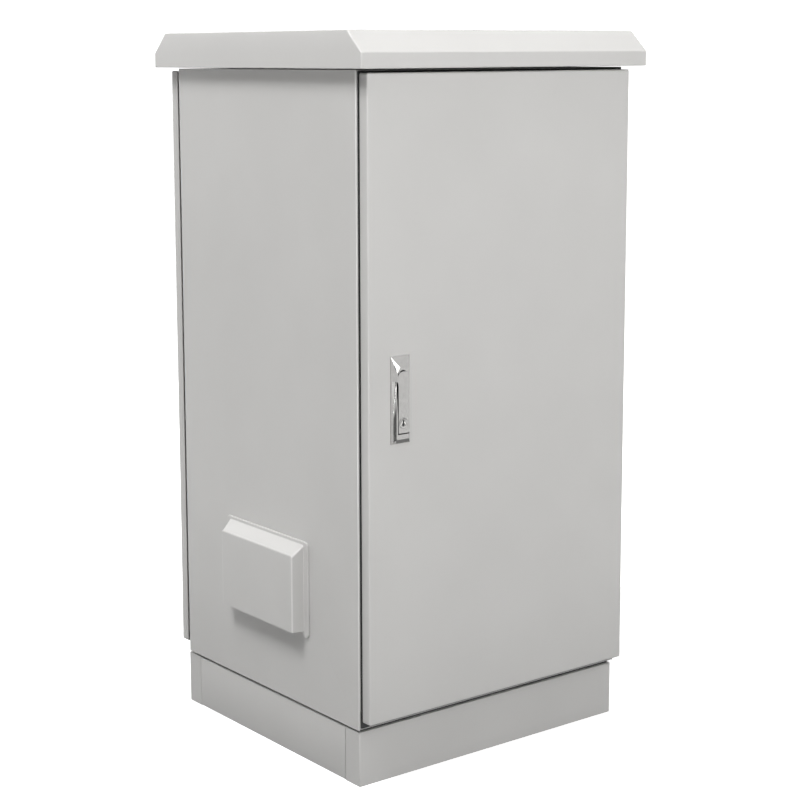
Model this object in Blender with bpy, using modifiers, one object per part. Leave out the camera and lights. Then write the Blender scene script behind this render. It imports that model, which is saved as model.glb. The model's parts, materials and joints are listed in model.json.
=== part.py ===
"""Outdoor 19-inch rack cabinet: plinth, welded body, two hinged pan doors, overhanging roof.

Metres, +Z up. The origin is the centre of the plinth's underside, the front door faces -Y,
and its handle is on the -X side. Sheet metal, castings and mechanism are separate solids.
"""

import math

import bmesh
import bpy
from mathutils import Matrix, Vector

# Driving dimensions

FIT = 0.0003             # gap between faces that touch
RUNNING = 0.0004         # radial or side clearance of what turns or slides
SHEET = 0.002            # body, plinth and rails
FOLD = 0.003             # outer radius of a folded edge

WIDTH = 0.600            # body over its side panels
DEPTH = 0.552            # twice the front flange's distance from the centre
REAR_STEP = 0.0085       # how much nearer the centre the rear flange is
BODY_HEIGHT = 1.110
FRAME_FLANGE = 0.032     # folded edge round each door opening
LIP_REACH = 0.014        # gutter lip, in front of the body
FRAME_TAIL = 0.020       # the gutter frame's flange behind the folded edge

PLINTH_HEIGHT = 0.097
PLINTH_INSET = 0.003
PLINTH_RETURN = 0.040
PLINTH_FLANGE = 0.028
PLINTH_JOINT = 0.001     # open joint between an end channel and a side
PLINTH_BOLT = 0.0065     # radius of the floor and cabinet bolt holes
SEAM = 0.005             # joint strip between plinth and body
SEAM_INSET = 0.008

DOOR_SHEET = 0.0015
DOOR_PAN = 0.0205
DOOR_GAP = 0.0035        # from the pan's edge to the body
DOOR_SIDE = 0.005        # door edge in from the body's side
DOOR_FOOT = 0.014        # door edge up from the body's foot
DOOR_HEAD = 0.0045       # door edge down from the body's top
GASKET_WIDTH = 0.012

ROOF_SIDE = 0.020        # overhang over the body
ROOF_FRONT = 0.042
ROOF_GAP = 0.002
ROOF_FASCIA = 0.026
ROOF_RISE = 0.036
ROOF_RUN = 0.038
ROOF_SHEET = 0.0015
ROOF_HEM = 0.012

HINGE_INSET = 0.150      # hinge from the door's top and bottom edge
HINGE_RING = 0.0046
HINGE_PIN = 0.0021
HINGE_SIDE_GAP = 0.0009  # from the ring to the door's return
HINGE_BACK_GAP = 0.0024  # from the ring to the door's inner face
HINGE_NECK = 0.004
HINGE_PLATE = 0.003
HINGE_HALF = 0.024       # height of one hinge half

HANDLE_GAP = 0.0028      # from the gear cover's flange to the gasket
HANDLE_FOOT = 0.595      # lower edge of the handle base above the floor
HANDLE_WIDTH = 0.040
HANDLE_HEIGHT = 0.1485
HANDLE_PROUD = 0.010
HANDLE_EDGE = 0.0014     # height of the base's outer edge
HANDLE_WALL = 0.00085    # casting beside the lever, at its crest
HANDLE_TOP_RUN = 0.0185  # run of the top and bottom bevels
HANDLE_FOOT_RUN = 0.0087
HANDLE_FLOOR = 0.0024    # floor of the recess above the door
TURN_DROP = 0.0355       # turning axis below the handle's upper edge
LEVER_HALF = 0.011
LEVER_BACK = 0.0053
LEVER_LENGTH = 0.0942    # turning axis to the lever's end
LEVER_GAP = 0.00035      # beside the lever
LEVER_END_GAP = 0.002
SEAT_GAP = 0.0017        # round the lever's head
PIN_RISE = 0.008         # lever pin above the turning axis
PIN_PROUD = 0.0073       # lever pin in front of the door
LEVER_PIN = 0.0011
PIN_FIT = 0.00015
TONGUE_HALF = 0.004
TONGUE_RADIUS = 0.0017
HUB_RADIUS = 0.0105
HUB_FLOOR = 0.001        # depth of the spindle's socket floor behind the door's face
BARREL_DROP = 0.077      # lock cylinder below the turning axis
BARREL_RADIUS = 0.0087
CYLINDER_RADIUS = 0.0058
SPINDLE = 0.007          # across the flats
BOSS_REACH = 0.011       # the base's boss behind the door face
BOSS_HALF = 0.015
BOSS_BELOW = 0.068       # from the turning axis
BOSS_ABOVE = 0.027
BOSS_CORNER = 0.004

GEAR_MODULE = 0.002
GEAR_TEETH = 12
GEAR_ANGLE = math.radians(25)
GEAR_BACKLASH = 0.0003
GEAR_WIDTH = 0.0054
ROD_BACK = 0.019         # far edge of a rod from the turning axis
ROD_END_GAP = 0.003
COVER_SHEET = 0.0015
COVER_FLANGE = 0.007
COVER_HALF = 0.032       # half the gear cover's height
GUIDE_HALF = 0.010
GUIDE_INSET = 0.060      # guide from the frame's lip

RACK_UNIT = 0.04445
RACK_HOLE_LINE = 0.4651  # hole lines, centre to centre
RACK_CLEAR = 0.450       # between the rails
RACK_HOLE = 0.0095
RACK_FIRST_HOLE = 0.00635
RACK_HOLE_STEP = 0.015875
RAIL_FACE = 0.026
RAIL_RETURN = 0.030
RAIL_SETBACK = 0.060     # rail face behind the body's front or rear
RAIL_END = 0.008         # rail beyond the first and last unit
SUPPORT_HEIGHT = 0.040
RAIL_CLEAR = 0.014       # depth rail's end to the body's flange

HOOD_WIDTH = 0.233
HOOD_FULL_HEIGHT = 0.172
HOOD_FOOT_EDGE = 0.011   # the flange's legs below the mouth
HOOD_HEAD_EDGE = 0.0055
HOOD_FOLD = 0.003
HOOD_REACH = 0.026
HOOD_SLOPE = 0.0165
HOOD_TAPER = 0.0045
HOOD_WALL = 0.002
HOOD_FLANGE = 0.012
HOOD_PLATE = 0.0032
HOOD_Y = -0.0055
HOOD_FOOT = 0.228        # lower edge of the left hood's flange above the floor
OUTLET_HEAD = 0.126      # upper edge of the right hood's flange below the body's top
SLOT_LENGTH = 0.140
SLOT_HEIGHT = 0.005
SLOT_PITCH = 0.011
SLOTS = 9

FILTER_WIDTH = 0.154
FILTER_HEIGHT = 0.124
FILTER_DEPTH = 0.012
FILTER_FOLD = 0.003
FAN_SIZE = 0.119
FAN_DEPTH = 0.038
FAN_BORE = 0.0565
FAN_BLADES = 7
FAN_HUB = 0.019
FAN_BLADE_WALL = 0.0018
FAN_TIP_GAP = 0.0015
FAN_SPOKE = 0.004
FAN_SHAFT = 0.002
FAN_SHAFT_END = 0.012    # shaft's end in from the fan's outer face

GROMMET_BORE = 0.025
GROMMET_LIP = 0.006
GROMMET_X = 0.080
GROMMET_Y = 0.150

REAR_LOCK_INSET = 0.270  # lock from the door's top and bottom edge
REAR_LOCK_HEAD = 0.015
REAR_LOCK_SHAFT = 0.0086
REAR_LOCK_REACH = 0.022  # into the cabinet from the door's face
CAM_LENGTH = 0.033
CAM_WIDTH = 0.016
CAM_SHEET = 0.003
CAM_GAP = 0.0027         # from the cam's tip to the frame's lip

# What follows from them

HALF = WIDTH / 2
FRONT = -DEPTH / 2
REAR = DEPTH / 2 - REAR_STEP
FOOT = PLINTH_HEIGHT + SEAM
HEAD = FOOT + BODY_HEIGHT
LIP_SIDE = HALF - FRAME_FLANGE - FIT
LIP_FOOT = FOOT + FRAME_FLANGE + FIT
LIP_HEAD = HEAD - FRAME_FLANGE - FIT
LIP_FRONT = FRONT - LIP_REACH
DOOR_FACE = FRONT - DOOR_GAP - DOOR_PAN
DOOR_INNER = DOOR_FACE + DOOR_SHEET
DOOR_HALF = HALF - DOOR_SIDE
DOOR_LOW = FOOT + DOOR_FOOT
DOOR_HIGH = HEAD - DOOR_HEAD
ROOF_LOW = HEAD + ROOF_GAP
ROOF_TOP = ROOF_LOW + ROOF_FASCIA + ROOF_RISE
HINGE_X = DOOR_HALF - DOOR_SHEET - HINGE_SIDE_GAP - HINGE_RING
HINGE_Y = DOOR_INNER + HINGE_BACK_GAP + HINGE_RING
GASKET_OUTER = LIP_SIDE - SHEET / 2 + GASKET_WIDTH / 2
COVER_REACH = ROD_BACK + RUNNING + COVER_SHEET + COVER_FLANGE
HANDLE_X = -(GASKET_OUTER - GASKET_WIDTH) + HANDLE_GAP + COVER_REACH
LEVER_SLOT = LEVER_HALF + LEVER_GAP
REAR_LOCK_X = -(LIP_SIDE - SHEET) + CAM_GAP + CAM_LENGTH
TURN_Z = HANDLE_FOOT + HANDLE_HEIGHT - TURN_DROP
GEAR_RADIUS = GEAR_MODULE * GEAR_TEETH / 2
GEAR_FRONT = DOOR_FACE + BOSS_REACH + 0.0006
GEAR_REAR = GEAR_FRONT + GEAR_WIDTH
RACK_UNITS = int((LIP_HEAD - LIP_FOOT - 4 * RAIL_END) / RACK_UNIT)
RACK_HEIGHT = RACK_UNITS * RACK_UNIT
RACK_LOW = (LIP_FOOT + LIP_HEAD - RACK_HEIGHT) / 2
RACK_OUTER = RACK_CLEAR / 2 + RAIL_FACE
INLET_Z = HOOD_FOOT + HOOD_FULL_HEIGHT / 2
OUTLET_Z = HEAD - OUTLET_HEAD - HOOD_FULL_HEIGHT / 2
BEHIND_PANEL = HALF - SHEET - FIT


# Scene, collections and finishes

for old in list(bpy.data.objects):
    bpy.data.objects.remove(old, do_unlink=True)

PARTS = bpy.data.collections.new("outdoor_rack_cabinet")
CUTTERS = bpy.data.collections.new("cutters")
for collection in (PARTS, CUTTERS):
    bpy.context.scene.collection.children.link(collection)
CUTTERS.hide_render = True


def finish(name, color, roughness, metallic):
    """A Principled material in one colour."""
    made = bpy.data.materials.new(name)
    made.use_nodes = True
    shader = made.node_tree.nodes["Principled BSDF"]
    shader.inputs["Base Color"].default_value = (*color, 1)
    shader.inputs["Roughness"].default_value = roughness
    shader.inputs["Metallic"].default_value = metallic
    made.diffuse_color = (*color, 1)
    return made


POWDER = finish("light_grey_powder_coat", (0.55, 0.55, 0.53), 0.5, 0.0)
ZINC = finish("galvanised_sheet", (0.55, 0.57, 0.58), 0.45, 0.9)
CHROME = finish("chromed_zinc_casting", (0.75, 0.75, 0.76), 0.15, 1.0)
STEEL = finish("turned_steel", (0.5, 0.5, 0.51), 0.35, 1.0)
RUBBER = finish("black_epdm_rubber", (0.02, 0.02, 0.02), 0.8, 0.0)
FOAM = finish("grey_gasket_foam", (0.06, 0.06, 0.065), 0.9, 0.0)
PLASTIC = finish("black_moulded_plastic", (0.025, 0.025, 0.027), 0.5, 0.0)
FILTER = finish("white_filter_fleece", (0.8, 0.8, 0.77), 0.95, 0.0)


# Modelling helpers

def add_part(name, mesh, material, smooth_angle=30):
    """Puts a mesh in the scene as a named piece."""
    piece = bpy.data.objects.new(name, mesh)
    PARTS.objects.link(piece)
    mesh.materials.clear()
    mesh.materials.append(material)
    mesh.shade_smooth()
    mesh.set_sharp_from_angle(angle=math.radians(smooth_angle))
    return piece


def add_helper(mesh):
    """Puts a mesh in the scene as the other operand of a Boolean."""
    helper = bpy.data.objects.new("helper_" + mesh.name, mesh)
    helper.hide_render = True
    helper.display_type = "WIRE"
    CUTTERS.objects.link(helper)
    return helper


def combine(piece, mesh, operation):
    boolean = piece.modifiers.new(operation.lower(), "BOOLEAN")
    boolean.operation = operation
    boolean.solver = "EXACT"
    boolean.object = add_helper(mesh)


def cut(piece, *meshes):
    for mesh in meshes:
        combine(piece, mesh, "DIFFERENCE")


def fuse(piece, *meshes):
    for mesh in meshes:
        combine(piece, mesh, "UNION")


def thicken(piece, thickness, offset):
    """Gives a surface its wall: offset -1 puts it behind the faces, 1 in front of them."""
    solid = piece.modifiers.new("wall", "SOLIDIFY")
    solid.thickness = thickness
    solid.offset = offset
    solid.use_even_offset = True


def soften(piece, width, segments=2, angle=40):
    """Rounds the edges sharper than the angle."""
    bevel = piece.modifiers.new("rounded_edges", "BEVEL")
    bevel.width = width
    bevel.segments = segments
    bevel.limit_method = "ANGLE"
    bevel.angle_limit = math.radians(angle)


def mesh_from(build):
    """The mesh that a bmesh leaves."""
    mesh = bpy.data.meshes.new("shape")
    bmesh.ops.recalc_face_normals(build, faces=build.faces)
    build.to_mesh(mesh)
    build.free()
    return mesh


def add_block(build, low, high):
    low, high = Vector(low), Vector(high)
    size = Matrix.Diagonal((*(high - low), 1))
    made = bmesh.ops.create_cube(build, size=1, matrix=Matrix.Translation((low + high) / 2) @ size)
    return made["verts"]


def block(low, high):
    build = bmesh.new()
    add_block(build, low, high)
    return mesh_from(build)


TURN = {
    "X": Matrix(((0, 0, 1), (1, 0, 0), (0, 1, 0))).to_4x4(),
    "Y": Matrix(((1, 0, 0), (0, 0, -1), (0, 1, 0))).to_4x4(),
    "Z": Matrix.Identity(4),
}


def drum(axis, centre, radius, low, high, segments=32):
    """A cylinder along an axis; centre holds the two other coordinates, low and high the ends."""
    build = bmesh.new()
    bmesh.ops.create_cone(
        build, cap_ends=True, segments=segments, radius1=radius, radius2=radius, depth=high - low
    )
    along = {"X": (1, 2, 0), "Y": (0, 2, 1), "Z": (0, 1, 2)}[axis]
    place = Vector((0, 0, 0))
    for index, value in zip(along, (*centre, (low + high) / 2)):
        place[index] = value
    bmesh.ops.transform(build, matrix=Matrix.Translation(place) @ TURN[axis], verts=build.verts)
    return mesh_from(build)


def arc(centre, radius, start, end, steps):
    """Points of an arc, angles in degrees."""
    angles = [math.radians(start + (end - start) * k / steps) for k in range(steps + 1)]
    return [(centre[0] + radius * math.cos(a), centre[1] + radius * math.sin(a)) for a in angles]


def rounded(points, radius, steps=3, closed=True):
    """The outline with each corner turned into an arc."""
    made = []
    count = len(points)
    for k, corner in enumerate(points):
        if not closed and k in (0, count - 1):
            made.append(corner)
            continue
        here = Vector(corner)
        before = (Vector(points[k - 1]) - here).normalized()
        after = (Vector(points[(k + 1) % count]) - here).normalized()
        half_angle = before.angle(after) / 2
        reach = radius / math.tan(half_angle)
        centre = here + (before + after).normalized() * radius / math.sin(half_angle)
        first = here + before * reach - centre
        last = here + after * reach - centre
        sweep = first.angle_signed(last)
        for step in range(steps + 1):
            turn = Matrix.Rotation(-sweep * step / steps, 2)
            made.append(tuple(centre + turn @ first))
    return made


def rectangle(low, high):
    return [(low[0], low[1]), (high[0], low[1]), (high[0], high[1]), (low[0], high[1])]


def circle(centre, radius, segments=32):
    return arc(centre, radius, 0, 360 - 360 / segments, segments - 1)


def prism(axis, outlines, low, high):
    """Flat outlines, the first one filled and the others its holes, carried along an axis."""
    curve = bpy.data.curves.new("outline", "CURVE")
    curve.dimensions = "2D"
    curve.fill_mode = "BOTH"
    curve.extrude = (high - low) / 2
    for outline in outlines:
        spline = curve.splines.new("POLY")
        spline.points.add(len(outline) - 1)
        for point, (a, b) in zip(spline.points, outline):
            point.co = (a, b, 0, 1)
        spline.use_cyclic_u = True
    flat = bpy.data.objects.new("outline", curve)
    bpy.context.scene.collection.objects.link(flat)
    graph = bpy.context.evaluated_depsgraph_get()
    mesh = bpy.data.meshes.new_from_object(flat.evaluated_get(graph))
    bpy.data.objects.remove(flat)
    bpy.data.curves.remove(curve)
    build = bmesh.new()
    build.from_mesh(mesh)
    bpy.data.meshes.remove(mesh)
    bmesh.ops.remove_doubles(build, verts=build.verts, dist=1e-6)
    shift = {"X": (1, 0, 0), "Y": (0, 1, 0), "Z": (0, 0, 1)}[axis]
    middle = Matrix.Translation(Vector(shift) * (low + high) / 2)
    bmesh.ops.transform(build, matrix=middle @ TURN[axis], verts=build.verts)
    return mesh_from(build)


def folded_strip(axis, profile, low, high):
    """An open profile carried along an axis, as a surface."""
    build = bmesh.new()
    reach = Vector((0, 0, high - low))
    start = [build.verts.new((a, b, low)) for a, b in profile]
    edges = [build.edges.new(pair) for pair in zip(start, start[1:])]
    grown = bmesh.ops.extrude_edge_only(build, edges=edges)
    moved = [v for v in grown["geom"] if isinstance(v, bmesh.types.BMVert)]
    bmesh.ops.translate(build, verts=moved, vec=reach)
    matrix = TURN[axis].copy()
    if axis == "Y":
        matrix = matrix @ Matrix.Diagonal((1, 1, -1, 1))
    bmesh.ops.transform(build, matrix=matrix, verts=build.verts)
    return mesh_from(build)


def loft(sections, closed_ends=True):
    """A skin through rings of equally many points."""
    build = bmesh.new()
    rings = [[build.verts.new(point) for point in section] for section in sections]
    for first, second in zip(rings, rings[1:]):
        for k in range(len(first)):
            nearby = (k + 1) % len(first)
            build.faces.new((first[k], first[nearby], second[nearby], second[k]))
    if closed_ends:
        build.faces.new(rings[0])
        build.faces.new(rings[-1])
    return mesh_from(build)


def open_pan(low, high, open_side, fold=FOLD, steps=2):
    """A box without one side, its other edges folded round. open_side is an axis and a sign."""
    build = bmesh.new()
    add_block(build, low, high)
    index = "XYZ".index(open_side[0])
    sign = 1 if open_side[1] == "+" else -1
    bmesh.ops.recalc_face_normals(build, faces=build.faces)
    lid = [face for face in build.faces if face.normal[index] * sign > 0.9]
    bmesh.ops.delete(build, geom=lid, context="FACES_ONLY")
    inner = [edge for edge in build.edges if not edge.is_boundary]
    bmesh.ops.bevel(
        build, geom=inner, offset=fold, segments=steps, profile=0.5, affect="EDGES", clamp_overlap=True
    )
    return mesh_from(build)


def empty_at(name, location, parent=None):
    made = bpy.data.objects.new(name, None)
    made.empty_display_size = 0.03
    PARTS.objects.link(made)
    made.location = Vector(location) - (parent.matrix_world.translation if parent else Vector())
    made.parent = parent
    bpy.context.view_layer.update()
    return made


def carry(parent, *pieces):
    """Parents pieces to an empty, their meshes moved so that each origin is on the joint's axis."""
    origin = parent.matrix_world.translation
    for piece in pieces:
        piece.data.transform(Matrix.Translation(-origin))
        piece.parent = parent


# Plinth

def plinth_end(name, sign):
    """One end channel: a wall with two returns, and flanges above and below for the bolts."""
    outer_x = HALF - PLINTH_INSET
    outer_y = DEPTH / 2 - PLINTH_INSET
    back_y = outer_y - PLINTH_RETURN

    def channel(width):
        points = [
            (-outer_x, back_y), (-outer_x, outer_y), (outer_x, outer_y), (outer_x, back_y),
            (outer_x - width, back_y), (outer_x - width, outer_y - width),
            (-outer_x + width, outer_y - width), (-outer_x + width, back_y),
        ]
        points[1:3] = rounded([points[0], *points[1:3], points[3]], FOLD, closed=False)[1:-1]
        return [(x, sign * y) for x, y in points]

    piece = add_part(name, prism("Z", [channel(SHEET)], 0, PLINTH_HEIGHT), POWDER)
    foot = prism("Z", [channel(PLINTH_FLANGE)], 0, SHEET)
    head = prism("Z", [channel(PLINTH_FLANGE)], PLINTH_HEIGHT - SHEET, PLINTH_HEIGHT)
    fuse(piece, foot, head)
    for side in (-1, 1):
        place = (side * (outer_x - 0.060), sign * (outer_y - PLINTH_FLANGE / 2))
        cut(piece, drum("Z", place, PLINTH_BOLT, -SHEET, PLINTH_HEIGHT + SHEET, 12))
    return piece


def plinth_side(name, sign):
    """Infill between the end channels: a channel lying on its side."""
    outer_x = HALF - PLINTH_INSET
    inner_x = outer_x - PLINTH_FLANGE
    reach = DEPTH / 2 - PLINTH_INSET - PLINTH_RETURN - PLINTH_JOINT
    profile = rounded(
        [(inner_x, 0), (outer_x, 0), (outer_x, PLINTH_HEIGHT), (inner_x, PLINTH_HEIGHT)], FOLD, closed=False
    )
    profile = [(sign * x, z) for x, z in profile]
    piece = add_part(name, folded_strip("Y", profile, -reach, reach), POWDER)
    thicken(piece, SHEET, -1)
    return piece


def plinth_seal():
    """Rubber strip all round between plinth and body, set back as a shadow joint."""
    x, front, rear = HALF - SEAM_INSET, FRONT + SEAM_INSET, REAR - SEAM_INSET
    width = 0.018
    inside = rectangle((-x + width, front + width), (x - width, rear - width))
    outlines = [rectangle((-x, front), (x, rear)), inside]
    mesh = prism("Z", outlines, PLINTH_HEIGHT + FIT, FOOT - FIT)
    return add_part("plinth_seal", mesh, RUBBER)


# Body

def body_pan(name, low, high, open_side):
    """Floor or top of the body: a pan whose rim is welded between the side panels."""
    reach = HALF - SHEET - FIT
    piece = add_part(name, open_pan((-reach, FRONT, low), (reach, REAR, high), open_side), POWDER)
    thicken(piece, SHEET, -1)
    return piece


def floor_pan():
    piece = body_pan("floor_pan", FOOT, FOOT + FRAME_FLANGE, "Z+")
    for side in (-1, 1):
        cut(piece, drum("Z", (side * GROMMET_X, GROMMET_Y), GROMMET_BORE, FOOT - SHEET, FOOT + 2 * SHEET, 16))
    return piece


def side_panel(name, sign, vent_z):
    """Side sheet folded inwards at front and rear, with vent slots behind its hood."""
    inner = HALF - FRAME_FLANGE
    outline = [(inner, FRONT), (HALF, FRONT), (HALF, REAR), (inner, REAR)]
    profile = [(sign * x, y) for x, y in rounded(outline, FOLD, closed=False)]
    piece = add_part(name, folded_strip("Z", profile, FOOT, HEAD), POWDER)
    thicken(piece, SHEET, -1)
    notch_x = (inner - SHEET, HALF - SHEET - 0.0001)
    for z in (FOOT, HEAD):
        for y in (FRONT, REAR):
            inner_x, outer_x = sorted(sign * x for x in notch_x)
            reach = FRAME_FLANGE + FIT
            corner = 2 * FOLD
            cut(piece, block((inner_x, y - corner, z - reach), (outer_x, y + corner, z + reach)))
    slots = bmesh.new()
    for k in range(SLOTS):
        z = vent_z + (k - (SLOTS - 1) / 2) * SLOT_PITCH
        add_block(
            slots,
            (sign * HALF - 2 * SHEET, HOOD_Y - SLOT_LENGTH / 2, z - SLOT_HEIGHT / 2),
            (sign * HALF + 2 * SHEET, HOOD_Y + SLOT_LENGTH / 2, z + SLOT_HEIGHT / 2),
        )
    cut(piece, mesh_from(slots))
    return piece


def body_edge(sign):
    """The body's front or rear flange, as if it were at the front."""
    return FRONT if sign > 0 else -REAR


def gutter_frame(name, sign):
    """Welded frame round a door opening: a lip that stands forward, and a flange behind the edge."""
    back = body_edge(sign) + SHEET + FIT

    def ring(grow):
        return rectangle((-LIP_SIDE - grow, LIP_FOOT - grow), (LIP_SIDE + grow, LIP_HEAD + grow))

    lip_ends = sorted((sign * LIP_FRONT, sign * (back + SHEET)))
    flange_ends = sorted((sign * back, sign * (back + SHEET)))
    piece = add_part(name, prism("Y", [ring(0), ring(-SHEET)], *lip_ends), POWDER)
    fuse(piece, prism("Y", [ring(FRAME_TAIL), ring(-SHEET / 2)], *flange_ends))
    return piece


def cable_grommet(name, x):
    """Turned rubber grommet: a groove for the floor's edge and a thin membrane to be cut open."""
    groove = GROMMET_BORE - RUNNING
    lip = GROMMET_BORE + GROMMET_LIP
    half = SHEET / 2 + FIT
    cheek = half + 0.003
    throat = groove - 0.0025
    membrane = 0.0012
    profile = [
        (0, membrane), (throat, membrane), (throat, cheek), (lip - 0.001, cheek), (lip, half + 0.001),
        (lip, half), (groove, half), (groove, -half), (lip, -half), (lip, -half - 0.001),
        (lip - 0.001, -cheek), (throat, -cheek), (throat, -membrane), (0, -membrane),
    ]
    build = bmesh.new()
    points = [build.verts.new((r, 0, z)) for r, z in profile]
    for pair in zip(points, points[1:]):
        build.edges.new(pair)
    mesh = bpy.data.meshes.new("profile")
    build.to_mesh(mesh)
    build.free()
    piece = add_part(name, mesh, RUBBER)
    screw = piece.modifiers.new("turned", "SCREW")
    screw.steps = screw.render_steps = 16
    screw.use_merge_vertices = True
    screw.merge_threshold = 0.00001
    piece.location = (x, GROMMET_Y, FOOT + SHEET / 2)
    return piece


# Roof

def roof_cap():
    """Folded cap, open below: sloped at front and rear, with flush ends and a hem all round."""
    x = HALF + ROOF_SIDE
    y = DEPTH / 2 + ROOF_FRONT
    shoulder = ROOF_LOW + ROOF_FASCIA
    half_profile = [(y, ROOF_LOW), (y, shoulder), (y - ROOF_RUN, ROOF_TOP)]
    outline = [(-a, b) for a, b in half_profile] + half_profile[::-1]
    mesh = prism("X", [outline], -x, x)
    build = bmesh.new()
    build.from_mesh(mesh)
    bmesh.ops.dissolve_limit(build, angle_limit=0.01, verts=build.verts, edges=build.edges)
    under = [face for face in build.faces if face.normal.z < -0.9]
    bmesh.ops.delete(build, geom=under, context="FACES_ONLY")
    folds = [edge for edge in build.edges if not edge.is_boundary]
    bmesh.ops.bevel(build, geom=folds, offset=FOLD / 2, segments=2, profile=0.5, affect="EDGES")
    piece = add_part("roof_cap", mesh_from(build), POWDER)
    thicken(piece, ROOF_SHEET, -1)
    reach = ROOF_HEM + ROOF_SHEET
    edge = ROOF_SHEET / 2
    hem = prism(
        "Z",
        [
            rectangle((-x + edge, -y + edge), (x - edge, y - edge)),
            rectangle((-x + reach, -y + reach), (x - reach, y - reach)),
        ],
        ROOF_LOW, ROOF_LOW + ROOF_SHEET,
    )
    fuse(piece, hem)
    return piece


def roof_bracket(name, sign):
    """Z-section that carries the roof clear of the top pan."""
    foot, web, head = 0.185, 0.200, 0.215
    low = HEAD + FIT + SHEET / 2
    high = ROOF_TOP - ROOF_SHEET - FIT - SHEET / 2
    reach = DEPTH / 2 - 0.040
    profile = rounded([(foot, low), (web, low), (web, high), (head, high)], FOLD, closed=False)
    profile = [(sign * x, z) for x, z in profile]
    piece = add_part(name, folded_strip("Y", profile, -reach, reach), ZINC)
    thicken(piece, SHEET, 0)
    return piece


# Ventilation

def hood_section(x, half_width, low, high, radius):
    """Upright section of the hood: round shoulders, square below where it is open."""
    left, right = HOOD_Y - half_width, HOOD_Y + half_width
    outline = rounded([(left, low), (left, high), (right, high), (right, low)], radius, closed=False)
    return [(x, y, z) for y, z in outline]


def vent_hood(name, sign, centre_z):
    """Pressed rain hood: three-sided flange, sloped top, tapered cheeks, open below."""
    panel = HALF + FIT
    plate = HALF + HOOD_PLATE + FIT
    front = HALF + HOOD_REACH
    half = HOOD_WIDTH / 2
    full = HOOD_FULL_HEIGHT / 2
    low = centre_z - full + HOOD_FOOT_EDGE
    high = centre_z + full - HOOD_HEAD_EDGE
    reach = front - plate
    skin = [hood_section(sign * (plate - 0.001), half, low, high, 0.006)]
    for step in range(5):
        angle = math.radians(22.5 * step)
        x = front - HOOD_FOLD * (1 - math.sin(angle))
        share = (min(x, front - HOOD_FOLD / 2) - plate) / reach
        inset = HOOD_FOLD * (1 - math.cos(angle))
        width = half - HOOD_TAPER * share - inset
        skin.append(hood_section(sign * x, width, low, high - HOOD_SLOPE * share - inset, 0.005))
    wall = HOOD_WALL
    below = low - 0.020
    share = (reach - wall) / reach
    hollow = [
        hood_section(sign * (panel - 0.001), half - wall, below, high - wall, 0.004),
        hood_section(sign * plate, half - wall, below, high - wall, 0.004),
        hood_section(
            sign * (front - wall), half - HOOD_TAPER * share - wall, below, high - HOOD_SLOPE * share - wall, 0.004
        ),
    ]
    edge = half + HOOD_FLANGE
    inside = half - wall - 0.001
    foot, lintel = centre_z - full, high - wall - 0.001
    across = [-edge, -edge, edge, edge, inside, inside, -inside, -inside]
    up = [foot, centre_z + full, centre_z + full, foot, foot, lintel, lintel, foot]
    flange = rounded([(HOOD_Y + y, z) for y, z in zip(across, up)], HOOD_FLANGE / 2)
    ends = sorted((sign * panel, sign * plate))
    piece = add_part(name, prism("X", [flange], *ends), POWDER)
    shell = add_helper(loft(skin))
    for target, mesh, operation in ((shell, loft(hollow), "DIFFERENCE"), (piece, None, "UNION")):
        boolean = target.modifiers.new("hood", "BOOLEAN")
        boolean.operation = operation
        boolean.object = add_helper(mesh) if mesh else shell
    return piece


def filter_frame(name, sign, z):
    """Moulded tray behind the slots: a flange on the panel, walls, and a back with a round opening."""
    depth = FILTER_DEPTH + SHEET
    face = BEHIND_PANEL
    half_y, half_z = FILTER_WIDTH / 2, FILTER_HEIGHT / 2
    ends = sorted((sign * face, sign * (face - depth)))
    low = (ends[0], HOOD_Y - half_y, z - half_z)
    high = (ends[1], HOOD_Y + half_y, z + half_z)
    piece = add_part(name, open_pan(low, high, "X+" if sign > 0 else "X-", FILTER_FOLD), PLASTIC)
    thicken(piece, SHEET, -1)
    rim = 0.010
    inset = SHEET / 2
    outlines = [
        rectangle((HOOD_Y - half_y - rim, z - half_z - rim), (HOOD_Y + half_y + rim, z + half_z + rim)),
        rectangle(
            (HOOD_Y - half_y + inset, z - half_z + inset), (HOOD_Y + half_y - inset, z + half_z - inset)
        ),
    ]
    rim_ends = sorted((sign * face, sign * (face - SHEET)))
    fuse(piece, prism("X", outlines, *rim_ends))
    cut(piece, drum("X", (HOOD_Y, z), FAN_BORE, ends[0] - SHEET, ends[1] + SHEET, 32))
    return piece


def filter_mat(name, sign, z):
    half_y = FILTER_WIDTH / 2 - SHEET - FIT
    half_z = FILTER_HEIGHT / 2 - SHEET - FIT
    outline = rounded(rectangle((HOOD_Y - half_y, z - half_z), (HOOD_Y + half_y, z + half_z)), FILTER_FOLD)
    back = BEHIND_PANEL - FILTER_DEPTH + FILTER_FOLD - SHEET + 0.0001
    ends = sorted((sign * (BEHIND_PANEL - FIT), sign * back))
    return add_part(name, prism("X", [outline], *ends), FILTER)


def fan_ends():
    outer = -(BEHIND_PANEL - FILTER_DEPTH - SHEET - FIT)
    return outer, outer + FAN_DEPTH


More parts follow.
